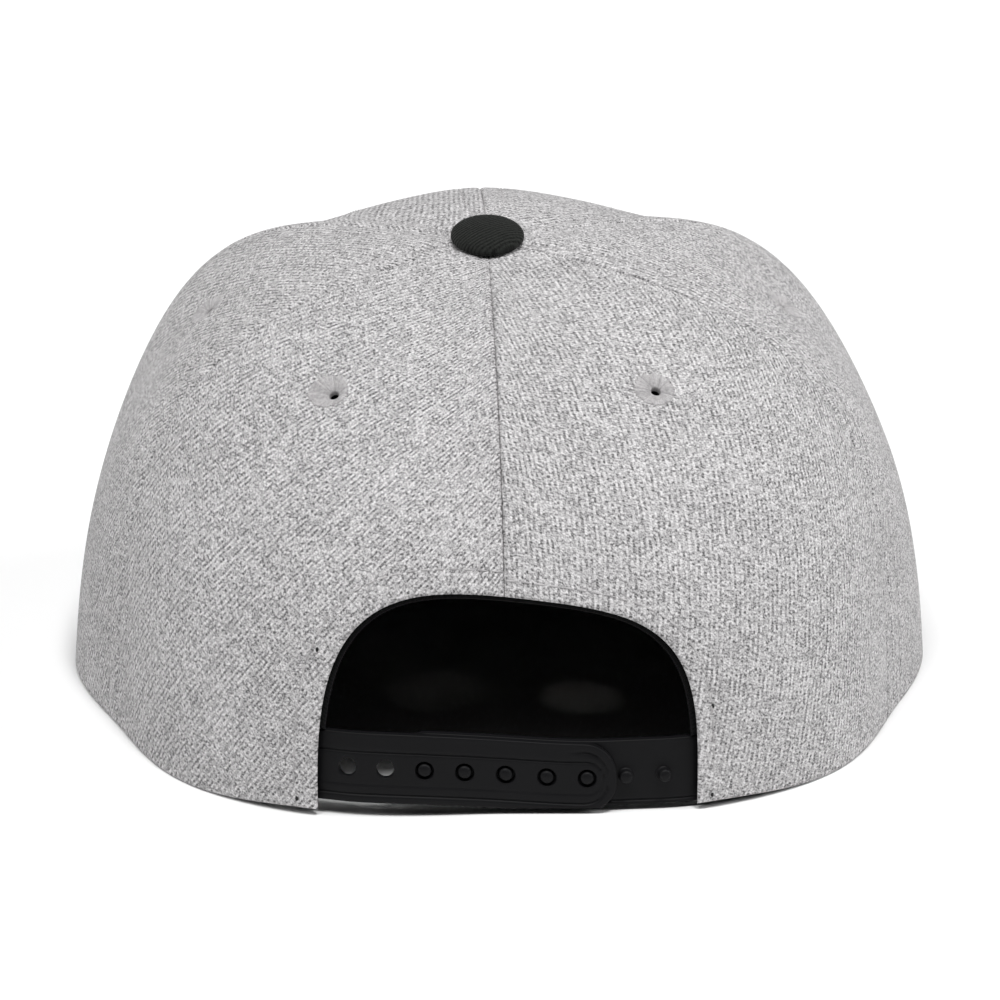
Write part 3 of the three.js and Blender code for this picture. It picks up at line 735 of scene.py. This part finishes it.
# Cuts a round hole through a piece
def drill(piece, point, normal, radius):
    bpy.ops.mesh.primitive_cylinder_add(vertices=48, radius=radius / 1000, depth=DRILL_DEPTH / 1000)
    cutter = bpy.context.object
    cutter.location = Vector(to_frame(point))
    cutter.rotation_mode = "QUATERNION"
    cutter.rotation_quaternion = Vector(normal).to_track_quat("Z", "Y")
    bpy.context.view_layer.update()
    cut = piece.modifiers.new("hole", "BOOLEAN")
    cut.operation = "DIFFERENCE"
    cut.object = cutter
    bpy.context.view_layer.objects.active = piece
    bpy.ops.object.modifier_apply(modifier=cut.name)
    bpy.data.objects.remove(cutter)


# One cloth panel of the crown, heather outside, and inside a near-black painted shade in place of the cloth's
# lighter reverse
def make_panel(side, panel):
    measure = PanelMeasure(side, panel)
    grid = back_panel_grid if panel is BACK else plain_panel_grid
    outer, inner, weave = panel_faces(measure, *grid(measure))
    columns, rows = outer.shape[:2]
    points, sheet = sheet_between(outer, inner, (side["sign"] < 0) != (panel is BACK))
    quads = (columns - 1) * (rows - 1)
    # Inner faces take the near-black painted-shade lining
    painted_shade_faces = [0] * quads + [1] * quads + [0] * (len(sheet) - 2 * quads)
    suffix = panel["name"] + "_" + side["name"]
    places = np.tile(weave.reshape(-1, 2), (2, 1))
    cloths = [HEATHER, PAINTED_SHADE_LINING]
    piece = make_object("crown_cloth_" + suffix, points, sheet, cloths, painted_shade_faces, places, sharp=60)
    point, _, _, normal = eyelet_frame(side, panel)
    drill(piece, point, normal, EYELET_RADIUS - EYELET_COVER)
    dress(piece, "crown_cloth", "crown_panel_" + suffix)
    return measure


# Embroidered ring: satin threads from a sunken hole out to the cloth
def make_eyelet(side, panel):
    point, _, up, normal = eyelet_frame(side, panel)
    across = np.cross(up, normal)
    segments = EYELET_THREADS * THREAD_SEGMENTS
    angle = np.linspace(0, 2 * math.pi, segments, endpoint=False)
    thread = np.abs(np.sin(angle * EYELET_THREADS / 2))
    draw = random.Random(panel["name"] + side["name"])
    draws = [draw.uniform(-THREAD_UNEVEN, THREAD_UNEVEN) for _ in range(EYELET_THREADS)]
    extra = np.repeat(draws, THREAD_SEGMENTS)
    off_middle = panel["hole_" + side["name"]]
    rings = []
    for radius, height, relief in zip(*EYELET_SECTION.values()):
        reach = radius + (THREAD_SPREAD * (relief > 0) + extra * smooth_step(radius, *UNEVEN_RADII)) * thread
        shift = off_middle * max(0, EYELET_RADIUS - radius) / (EYELET_RADIUS - EYELET_HOLE_RADIUS)
        rings.append(point + np.outer(reach * np.cos(angle) + shift, across)
                     + np.outer(reach * np.sin(angle), up) + np.outer(height + relief * thread, normal))
    numbers = np.tile(angle * EYELET_THREADS / (2 * math.pi) + 0.01, len(rings))
    weave = np.stack([numbers, np.repeat(EYELET_SECTION["radius"], segments)], -1)
    suffix = panel["name"] + "_" + side["name"]
    faces = ring_faces(len(rings), segments, closed=True)
    piece = make_object("eyelet_thread_" + suffix, np.concatenate(rings), faces, [GREY_THREAD], weave=weave)
    dress(piece, "thread", "eyelet_" + suffix)


# One stitch: a short rounded strand along +X, its middle on the cloth
def stitch_shape():
    sections = [(-0.5, 0.25), (-0.4, 0.7), (-0.15, 1.0), (0.15, 1.0), (0.4, 0.7), (0.5, 0.25)]
    sides = 6
    points = []
    for along, size in sections:
        for k in range(sides):
            angle = 2 * math.pi * k / sides
            lift = STITCH_WIDTH * 0.5 * (size * math.sin(angle) + 0.35 * (1 - 4 * along * along) - 0.1)
            points.append([along * STITCH_LENGTH, STITCH_WIDTH / 2 * size * math.cos(angle), lift])
    return np.array(points), capped_rings(len(sections), sides)


# Copies of a shape as one piece. Each spot has a thread number, a middle and three axes.
def make_copies(name, slot, material, shape, shape_faces, spots):
    points = np.concatenate([middle + shape @ np.stack(axes) for _, middle, axes in spots])
    faces = [[index + k * len(shape) for index in face] for k in range(len(spots)) for face in shape_faces]
    numbers = np.repeat([number + 0.5 for number, _, _ in spots], len(shape))
    weave = np.stack([numbers, np.tile(shape[:, 0], len(spots))], -1)
    dress(make_object(name, points, faces, [material], weave=weave), slot)


# Values of a table of points at a length along their line
def along_line(values, run, at):
    return np.array([np.interp(at, run, values[:, axis]) for axis in range(3)])


# Stitches along lines. Each line is its points and outward normals.
def make_stitches(name, lines, material, slot):
    draw = random.Random(7)
    probe = 0.5
    spots = []
    for line, normals in lines:
        run = running_length(line)
        count = int(run[-1] / STITCH_PITCH)
        for k in range(count):
            at = (k + 0.5) * run[-1] / count
            up = unit(along_line(normals, run, at))
            along = unit(along_line(line, run, at + probe) - along_line(line, run, at - probe))
            across = unit(np.cross(up, along))
            along = unit(along + across * draw.uniform(-STITCH_SLEW, STITCH_SLEW))
            axes = (along, unit(np.cross(up, along)), up)
            spots.append((len(spots), along_line(line, run, at), axes))
    make_copies(name, slot, material, *stitch_shape(), spots)


# The two needle lines of each panel, one beside each of its seams
def needle_lines(measure):
    panel = measure.panel
    rise = NEEDLE_LINE_RISES
    gap = NEEDLE_GAP * measure.narrowing(rise)
    lines = []
    for far in (False, True):
        distance = measure.width(rise) - gap if far else gap
        point, _, _, normal = crown_frame(measure.side, panel, measure.azimuth(distance, rise), rise)
        keep = np.hypot(point[:, 0], point[:, 1] - BUTTON_SET_BACK) > BUTTON_RADIUS
        if panel is BACK and far:
            keep &= point[:, 2] > OPENING_HEIGHT + NEEDLE_LINE_CLEAR
        depth = sewn_depth(measure, distance, rise)
        lines.append(((point - normal * depth[:, None])[keep], normal[keep]))
    return lines


# The row of stitches round the half-moon opening
def opening_line(side):
    x, height = opening_outline(side, OPENING_LINE_ANGLES, side["edge_stitch"])
    keep = height > BACK_LIFT + 1
    point, _, _, normal = back_wall_frame(side, x[keep], height[keep])
    return point, normal


def make_knots():
    spots = []
    for number, x, height in KNOTS:
        middle, across, up, normal = back_wall_frame(SIDES[number], np.array(x), np.array(height))
        spots.append((0, middle, (KNOT_NARROWING * across, up, normal)))
    make_copies("tape_knots", "dark_tape", BLACK_THREAD, *turned(KNOT_PROFILE, 10), spots)


# Turned shape about +Z from a profile of radii and heights, as rings
def turned(profile, segments):
    angle = np.linspace(0, 2 * math.pi, segments, endpoint=False)
    rings = [np.stack([radius * np.cos(angle), radius * np.sin(angle), np.full(segments, height)], -1)
             for radius, height in profile]
    return np.concatenate(rings), capped_rings(len(profile), segments)


# How far the cloth under the button stands above its tilted seat plane
def button_seat(apex, axis):
    highest = 0.0
    for side in SIDES:
        azimuth = np.arange(0, 181, 15.0)

        def inward(rise):
            return -np.linalg.norm(crown_point(side, None, azimuth, rise) - apex, axis=-1)
        rise = solve(inward, CROWN_RISE, 1, np.full(azimuth.shape, -BUTTON_RADIUS))
        height = (crown_point(side, None, azimuth, rise) - apex) @ axis
        highest = max(highest, float(height.max()))
    return highest


# Profile of the button: its shank, its flat underside, the rolled edge and the dome
def button_profile():
    rolled = BUTTON_RADIUS - BUTTON_ROLL
    profile = [(SHANK_RADIUS, -SHANK_LENGTH), (SHANK_RADIUS, 0),
               (BUTTON_RADIUS - BUTTON_UNDER, 0), (rolled, 0.05)]
    for degrees in range(-60, 90, 5):
        angle = math.radians(degrees)
        if degrees < 0:
            profile.append((rolled + BUTTON_ROLL * math.cos(angle), BUTTON_EDGE * (1 + math.sin(angle))))
        else:
            height = BUTTON_EDGE + (BUTTON_DOME - BUTTON_EDGE) * math.sin(angle)
            profile.append((BUTTON_RADIUS * math.cos(angle), height))
    return profile


# Cloth-covered button on its shank, square to its tilted axis
def make_button():
    tilt = math.radians(BUTTON_TILT)
    axis = np.array([0, math.sin(tilt), math.cos(tilt)])
    apex = np.array([0, BUTTON_SET_BACK, CROWN_HEIGHT])
    seat = apex + axis * (CLEARANCE + button_seat(apex, axis))
    points, faces = turned(button_profile(), 96)
    x, y, z = points[:, :1], points[:, 1:2], points[:, 2:]
    across = np.array([1.0, 0, 0])
    placed = seat + x * across + y * np.cross(axis, across) + z * axis
    lean = math.radians(BUTTON_WEAVE_LEAN)
    turned_x = x * math.cos(lean) + y * math.sin(lean)
    turned_y = y * math.cos(lean) - x * math.sin(lean)
    weave = np.concatenate([turned_x, turned_y], -1) * (1 + BUTTON_WEAVE_STRETCH * z)
    piece = make_object("button_cloth", placed, faces, [BLACK_TWILL], weave=weave, sharp=50)
    dress(piece, "button_cloth", "button")


# Foot of the brim against the crown
def brim_root(side, azimuth):
    foot, _, _, normal = crown_frame(side, None, azimuth, 0.0)
    normal = unit(normal * FLAT)
    height = foot[..., 2] + BRIM_THICKNESS
    above = crown_point(side, FRONT, azimuth, rise_at_height(side, azimuth, height))
    lean = np.maximum(0, ((above - foot) * normal).sum(-1))
    return foot + normal * (CLEARANCE + lean)[..., None]


# Lower face of the brim from its root to its front edge, for shares across from -1 to 1
def brim_borders(across):
    roots = np.zeros((len(across), 3))
    edges = np.zeros((len(across), 3))
    for side in SIDES:
        pick = across > 0 if side["sign"] > 0 else across <= 0
        share = np.abs(across[pick])
        roots[pick] = brim_root(side, share * BRIM_CORNER_AZIMUTH)
        corner = brim_root(side, np.array(BRIM_CORNER_AZIMUTH))
        corner[0] += side["sign"] * BRIM_CORNER_WIDTH
        u = 1 - share
        corner_part = (1 - u) ** 3
        side_part = 3 * u * (1 - u) ** 2
        front_part = 3 * u ** 2 * (1 - u)
        pull = BRIM_HALF_WIDTH * (side_part * BRIM_SIDE_PULL + front_part * BRIM_FRONT_PULL)
        x = corner_part * abs(corner[0]) + pull
        y = corner_part * corner[1] + side_part * (corner[1] + BRIM_FRONT) / 2
        y = y + (front_part + u ** 3) * BRIM_FRONT
        z = BRIM_ARCH * (1 - share ** 2) ** 2
        edges[pick] = np.stack([side["sign"] * x, y, z], -1)
    return roots, edges


# Section of the brim from its root round its front edge and back: share of the way out, how far it is
# drawn in, and height. The edge is creased along its middle, where the upper and the lower cloth meet.
def brim_section():
    half = BRIM_THICKNESS / 2
    shares = np.linspace(0, 1, BRIM_SECTION_ROWS)
    section = [(share, half * share, BRIM_THICKNESS) for share in shares]
    for degrees in range(80, -90, -10):
        angle = math.radians(degrees)
        drawn_in = half * (1 - math.cos(angle)) if degrees else half
        section.append((1.0, drawn_in, half + half * math.sin(angle)))
    return section + [(share, half * share, 0.0) for share in shares[::-1]]


# Flat brim with a rolled front edge
def make_brim():
    across = np.sin(np.linspace(-math.pi / 2, math.pi / 2, 181))
    roots, edges = brim_borders(across)
    out = unit((edges - roots) * FLAT)
    columns = [roots + (edges - roots) * share - out * drawn_in + np.array([0, 0, height])
               for share, drawn_in, height in brim_section()]
    points = np.stack(columns, 1)
    faces = capped_rings(*points.shape[:2])
    points = points.reshape(-1, 3)
    piece = make_object("brim_cloth", points, faces, [BLACK_TWILL], weave=points[:, :2], sharp=50)
    dress(piece, "brim_cloth", "brim")


# Rows of stitches that follow the brim's edge, above and below
def brim_lines():
    roots, edges = brim_borders(BRIM_LINE_SHARES)
    lengths = np.linalg.norm(edges - roots, axis=-1)
    lines = []
    for row in range(BRIM_STITCH_ROWS):
        inset = BRIM_FIRST_ROW + BRIM_ROW_PITCH * row
        keep = lengths > inset + BRIM_ROOT_CLEAR
        share = 1 - inset / lengths[keep]
        base = roots[keep] + (edges - roots)[keep] * share[:, None]
        for height, up in ((BRIM_THICKNESS, 1.0), (0.0, -1.0)):
            lines.append((base + np.array([0, 0, height]), np.tile([0, 0, up], (len(base), 1))))
    return lines


# Snap strap, laid flat as run and height, then bent round the back of the crown
HOLE_STRAP_DEPTH = WALL + LAP_GAP
PEG_STRAP_DEPTH = HOLE_STRAP_DEPTH + STRAP_THICKNESS + CLEARANCE
LEFT_SEWN_RUN = SIDES[0]["half_width"] + STRAP_TUCK
RIGHT_SEWN_RUN = -SIDES[1]["half_width"] - STRAP_TUCK
HOLE_STRAP_END = min(HOLE_PLACES) * HOLE_PITCH - STRAP_END_RUN
PEG_STRAP_END = max(PEG_PLACES) * HOLE_PITCH + STRAP_END_RUN


def strap_middle(run):
    return STRAP_FOOT + STRAP_HEIGHT / 2 + STRAP_RISE * smooth_step(run, RISE_START, RISE_END)


# Azimuths along the strap's line for each side
def strap_tables():
    tables = []
    for side in SIDES:
        azimuth = np.arange(180, 90, -0.5)
        points = crown_point(side, None, azimuth, rise_at_height(side, azimuth, strap_middle(0.0)))
        tables.append((running_length(points), azimuth))
    return tables


STRAP_TABLES = strap_tables()


# Points of the strap from run, height over its middle line and depth behind the crown's outer face
def strap_points(run, offset, depth):
    result = np.zeros((len(run), 3))
    height = strap_middle(run) + offset
    for side, (runs, azimuths) in zip(SIDES, STRAP_TABLES):
        pick = run >= 0 if side["sign"] > 0 else run < 0
        azimuth = np.interp(np.abs(run[pick]), runs, azimuths)
        point, _, _, normal = crown_frame(side, None, azimuth, rise_at_height(side, azimuth, height[pick]))
        result[pick] = point - unit(normal * FLAT) * depth[pick][:, None]
    return result


def peg_strap_depth(run):
    start = RIGHT_SEWN_RUN + (HOLE_STRAP_END - RIGHT_SEWN_RUN) * LAP_BLEND
    share = smooth_step(run, start, HOLE_STRAP_END - STRAP_THICKNESS)
    return HOLE_STRAP_DEPTH + (PEG_STRAP_DEPTH - HOLE_STRAP_DEPTH) * share


# A flat sheet of quads, its points merged by place
class FlatSheet:
    def __init__(self):
        self.points = []
        self.index = {}
        self.faces = []

    def point(self, x, y):
        key = (round(x, 4), round(y, 4))
        if key not in self.index:
            self.index[key] = len(self.points)
            self.points.append((x, y))
        return self.index[key]

    def quad(self, corners):
        face = [self.point(x, y) for x, y in corners]
        if len(set(face)) == 4:
            self.faces.append(face)

    def grid(self, xs, ys):
        for i in range(len(xs) - 1):
            for j in range(len(ys) - 1):
                self.quad([(xs[i], ys[j]), (xs[i + 1], ys[j]), (xs[i + 1], ys[j + 1]), (xs[i], ys[j + 1])])

    # A rectangle with a round hole: rings from the hole's edge out to the rectangle's border
    def holed_cell(self, middle, half_run, half_height, radius, steps):
        across = np.linspace(-half_run, half_run, steps + 1)
        up = np.linspace(-half_height, half_height, steps + 1)
        border = [(x, -half_height) for x in across[:-1]] + [(half_run, y) for y in up[:-1]]
        border += [(x, half_height) for x in across[:0:-1]] + [(-half_run, y) for y in up[:0:-1]]
        shares = [0, 0.04, 0.1, 0.2, 0.35, 0.5, 0.68, 0.84, 1]
        count = len(border)
        for k in range(count):
            for low, high in zip(shares[:-1], shares[1:]):
                corners = []
                for place, share in ((k, low), (k + 1, low), (k + 1, high), (k, high)):
                    x, y = border[place % count]
                    reach = math.hypot(x, y)
                    scale = (radius + (reach - radius) * share) / reach
                    corners.append((middle + x * scale, y * scale))
                self.quad(corners[::-1])


CELL_STEPS = 20
HALF_PITCH = HOLE_PITCH / 2
HALF_STRAP = STRAP_HEIGHT / 2
CELL_HALF = 3.1

# Rows of the strap's mesh above its middle line, fine where the groove and the rim are
BAND_ROWS = [CELL_HALF, 3.3, 3.45, 3.6, 3.7, 3.8, 3.9, 4.0, 4.15, 4.4, 4.9, 5.4, 5.7, 5.85, 6.0, 6.1, 6.2,
             6.35, 6.55, 6.9, 7.3, 7.65, 7.85, 8.0, 8.09, HALF_STRAP]


# Flat layout of a strap whose rounded end is at end_run and whose sewn end is at sewn_run
def strap_layout(end_run, sewn_run, holes):
    sheet = FlatSheet()
    towards = 1 if sewn_run > end_run else -1
    first = end_run + towards * (STRAP_END_RUN - HALF_PITCH)
    count = int(abs(sewn_run - first) / HOLE_PITCH)
    bands = [BAND_ROWS, [-row for row in BAND_ROWS[::-1]]]
    middle_rows = list(np.linspace(-CELL_HALF, CELL_HALF, CELL_STEPS + 1))
    for cell in range(count):
        low = first + towards * cell * HOLE_PITCH
        xs = sorted(low + towards * HOLE_PITCH * k / CELL_STEPS for k in range(CELL_STEPS + 1))
        centre = low + towards * HALF_PITCH
        for band in bands:
            sheet.grid(xs, band)
        if holes and cell < len(HOLE_PLACES):
            sheet.holed_cell(centre, HALF_PITCH, CELL_HALF, HOLE_RADIUS, CELL_STEPS)
        else:
            sheet.grid(xs, middle_rows)
    rest = first + towards * count * HOLE_PITCH
    rows = [-row for row in BAND_ROWS[:0:-1]] + middle_rows + BAND_ROWS[1:]
    tail = sorted(np.linspace(rest, sewn_run, max(2, int(abs(sewn_run - rest)) + 1)))
    sheet.grid(tail, rows)
    tip = sorted(end_run + (first - end_run) * share for share in (0, 0.04, 0.12, 0.25, 0.45, 0.7, 1))
    sheet.grid(tip, rows)
    return sheet, first


# Half the height of a strap at a distance from the tip of its rounded end
def half_height_at(gap):
    left = np.minimum(gap, STRAP_END_RADIUS)
    return HALF_STRAP - STRAP_END_RADIUS + np.sqrt(STRAP_END_RADIUS ** 2 - (STRAP_END_RADIUS - left) ** 2)


# Squeezes a flat layout into the strap's rounded end
def round_strap_end(points, end_run, first):
    run = points[:, 0]
    half = half_height_at(np.abs(run - end_run))
    inner = CELL_HALF * np.minimum(1, half / half_height_at(abs(first - end_run)))
    size = np.abs(points[:, 1])
    low = size * inner / CELL_HALF
    high = inner + (size - CELL_HALF) * (half - inner) / (HALF_STRAP - CELL_HALF)
    return np.stack([run, np.sign(points[:, 1]) * np.where(size <= CELL_HALF, low, high)], -1)


# How far points are from the strap's outline, by their distances from its end and from its middle line
def strap_edge_gap(into, offset):
    dx = np.maximum(0, STRAP_END_RADIUS - into)
    dy = np.maximum(0, np.abs(offset) - (HALF_STRAP - STRAP_END_RADIUS))
    return np.maximum(0, STRAP_END_RADIUS - np.hypot(dx, dy))


# Moulded relief of a strap's face: rolled edge, raised rim and a shallow channel along the holes
def strap_relief(points, end_run, sewn_run, with_channel):
    into = (points[:, 0] - end_run) * (1 if sewn_run > end_run else -1)
    offset = points[:, 1]
    gap = strap_edge_gap(into, offset)
    fade = 1 - smooth_step(into, *FADE_RUN) * smooth_step(offset, *FADE_HEIGHT)
    rim = (RIM_HEIGHT * (1 - smooth_step(gap, *RIM_SLOPE)) - groove(gap - RIM_WIDTH)) * fade
    relief = rim - rounding(gap, *STRAP_EDGE)
    if with_channel:
        from_row = np.hypot(np.maximum(0, STRAP_END_RUN - into), offset)
        share = LOW_GROOVE_SHARE + (1 - LOW_GROOVE_SHARE) * smooth_step(offset, -1.0, 1.0)
        outside = smooth_step(from_row, CHANNEL_HALF, CHANNEL_HALF + CHANNEL_SLOPE)
        relief = relief - groove(from_row - CHANNEL_HALF) * share - CHANNEL_DEPTH * (1 - outside)
    return relief


# Depth of a narrow moulded groove, at distances from its middle line
def groove(distance):
    return GROOVE_DEPTH * np.exp(-(distance / GROOVE_WIDTH) ** 2)


# Rounds the edges of the holes
def hole_relief(points):
    nearest = np.full(len(points), np.inf)
    for place in HOLE_PLACES:
        nearest = np.minimum(nearest, np.hypot(points[:, 0] - place * HOLE_PITCH, points[:, 1]))
    return -rounding(nearest - HOLE_RADIUS, *HOLE_EDGE)


# One strap as a closed moulded strip, with pegs if it has any
def make_strap(name, node, end_run, sewn_run, depth_at, pegs):
    sheet, first = strap_layout(end_run, sewn_run, not pegs)
    flat = round_strap_end(np.array(sheet.points), end_run, first)
    relief = strap_relief(flat, end_run, sewn_run, not pegs)
    if not pegs:
        relief = relief + hole_relief(flat)
    depth = depth_at(flat[:, 0])
    front = strap_points(flat[:, 0], flat[:, 1], depth - relief)
    back = strap_points(flat[:, 0], flat[:, 1], depth + STRAP_THICKNESS)
    points = np.concatenate([front, back])
    faces = closed_sheet(sheet.faces, len(front))
    for place in pegs:
        peg_points, peg_faces = peg_shape(place * HOLE_PITCH, float(depth_at(np.array(place * HOLE_PITCH))))
        faces += [[index + len(points) for index in face] for face in peg_faces]
        points = np.concatenate([points, peg_points])
    piece = make_object(name, points, faces, [PLASTIC], sharp=50)
    dress(piece, "strap_plastic", node)


# A peg with a domed head, square to the strap
def peg_shape(run, depth):
    length = CLEARANCE + STRAP_THICKNESS + PEG_PROUD
    profile = [(PEG_RADIUS + flare, height) for flare, height in PEG_FOOT]
    for degrees in range(0, 90, 12):
        angle = math.radians(degrees)
        profile.append((PEG_RADIUS * math.cos(angle), length - PEG_DOME + PEG_DOME * math.sin(angle)))
    points, faces = turned(profile, 32)
    seat = strap_points(np.array([run, run + 0.5, run]), np.array([0.0, 0.0, 0.5]), np.full(3, depth))
    along = unit(seat[1] - seat[0])
    up = unit(seat[2] - seat[0])
    out = unit(np.cross(up, along))
    if out[1] < 0:
        out = -out
    placed = seat[0] + points[:, :1] * along + points[:, 1:2] * up + points[:, 2:] * out
    return placed, faces


# Facing tape behind the opening's edge
def make_tape():
    margins = np.concatenate([[0, 0.15, 0.4], np.linspace(0.9, TAPE_WIDTH, 7)]) - TAPE_SHOWS
    bend = rounding(margins + TAPE_SHOWS, TAPE_THICKNESS / 2, TAPE_THICKNESS / 2)[:, None]
    front = []
    back = []
    for side in SIDES:
        foot_run = side["sign"] * (side["half_width"] + TAPE_WIDTH)
        foot = float(strap_middle(foot_run)) + STRAP_HEIGHT / 2 + TAPE_LIFT
        start = solve(lambda angle: opening_outline(side, angle, -TAPE_SHOWS)[1], 0.0, 90.0, np.array(foot))
        angles = np.linspace(float(start), 90, 61)
        if side["sign"] < 0:
            angles = angles[::-1][1:]
        x, height = opening_outline(side, angles[:, None], margins[None, :])
        point, _, _, normal = back_wall_frame(side, x, height)
        front.append(point - normal * (WALL + LAP_GAP + bend))
        back.append(point - normal * (WALL + LAP_GAP + TAPE_THICKNESS - bend))
    points, faces = sheet_between(np.concatenate(front), np.concatenate(back), False)
    columns = len(points) // (2 * len(margins))
    run = np.repeat(np.arange(columns, dtype=float), len(margins))
    places = np.tile(np.stack([run, np.tile(margins, columns)], -1), (2, 1))
    piece = make_object("opening_facing", points, faces, [DARK_TAPE], weave=places)
    dress(piece, "dark_tape", "opening_tape")


# Pieces
crown_lines = []
for crown_side in SIDES:
    for crown_panel in PANELS:
        crown_lines += needle_lines(make_panel(crown_side, crown_panel))
        make_eyelet(crown_side, crown_panel)
    crown_lines.append(opening_line(crown_side))
make_stitches("crown_stitches", crown_lines, GREY_THREAD, "thread")
make_knots()
make_button()
make_brim()
make_stitches("brim_stitches", brim_lines(), BLACK_THREAD, "brim_cloth")
make_strap("moulded_strap_with_holes", "strap_with_holes", HOLE_STRAP_END, LEFT_SEWN_RUN,
           lambda run: np.full(np.shape(run), HOLE_STRAP_DEPTH), [])
make_strap("moulded_strap_with_pegs", "strap_with_pegs", PEG_STRAP_END, RIGHT_SEWN_RUN,
           peg_strap_depth, PEG_PLACES)
make_tape()


def make_floor():
    mesh = bpy.data.meshes.new("floor")
    corners = [(x * FLOOR_HALF, y * FLOOR_HALF, 0) for x, y in ((-1, -1), (1, -1), (1, 1), (-1, 1))]
    mesh.from_pydata(corners, [], [[0, 1, 2, 3]])
    pale = new_material("pale_floor", Base_Color=(0.9, 0.9, 0.9, 1), Roughness=0.8, Specular_IOR_Level=0.1)
    mesh.materials.append(pale[0])
    floor = bpy.data.objects.new("floor", mesh)
    bpy.context.scene.collection.objects.link(floor)


def aim(thing, place, target):
    thing.location = place
    direction = Vector(target) - Vector(place)
    thing.rotation_mode = "QUATERNION"
    thing.rotation_quaternion = direction.to_track_quat("-Z", "Y")


# A broad soft light, far away at an azimuth and elevation counted like the camera's
def make_light(name, azimuth, elevation, softness, strength):
    data = bpy.data.lights.new(name, "SUN")
    data.angle = math.radians(softness)
    data.energy = strength
    light = bpy.data.objects.new(name, data)
    bpy.context.scene.collection.objects.link(light)
    target = Vector(to_frame(LIGHT_TARGET_MM))
    aim(light, target - look_direction(azimuth, elevation) * LIGHT_DISTANCE, target)


# Direction of view for an azimuth that looks along +Y at 0, and an elevation above the floor
def look_direction(azimuth, elevation):
    flat = math.cos(math.radians(elevation))
    turn = math.radians(azimuth)
    return Vector((math.sin(turn) * flat, math.cos(turn) * flat, -math.sin(math.radians(elevation))))


def make_camera():
    data = bpy.data.cameras.new("camera")
    data.sensor_width = 36
    data.lens = data.sensor_width * FOCAL_PIXELS / PHOTO_PIXELS
    data.clip_end = 20
    camera = bpy.data.objects.new("camera", data)
    bpy.context.scene.collection.objects.link(camera)
    target = Vector(to_frame(CAMERA_TARGET_MM))
    aim(camera, target - look_direction(CAMERA_AZIMUTH, CAMERA_ELEVATION) * CAMERA_DISTANCE, target)
    bpy.context.scene.camera = camera


# Studio surroundings: bright overhead and dim near the floor, but plain white to look at
def make_world():
    world = bpy.data.worlds.new("studio")
    world.use_nodes = True
    tree = world.node_tree
    direction = add_node(tree, "ShaderNodeTexCoord").outputs["Generated"]
    height = add_node(tree, "ShaderNodeSeparateXYZ", {"Vector": direction}).outputs["Z"]
    bright = add_node(tree, "ShaderNodeMapRange", {"Value": height, "From Min": 0.7, "From Max": 0.95,
                                                   "To Min": 0.03, "To Max": 0.5}).outputs[0]
    seen = add_node(tree, "ShaderNodeLightPath").outputs["Is Camera Ray"]
    strength = calc(tree, "MAXIMUM", bright, seen)
    tree.links.new(strength, tree.nodes["Background"].inputs["Strength"])
    tree.nodes["Background"].inputs["Color"].default_value = (1, 1, 1, 1)
    bpy.context.scene.world = world


make_floor()
make_camera()
make_light("key", 150, 71, 12, 1.68)
make_light("fill", 218, 66, 14, 0.95)
make_light("right", 98, 33, 30, 1.2)
make_light("left", 262, 33, 30, 0.66)
make_world()
bpy.context.scene.view_settings.view_transform = "Standard"
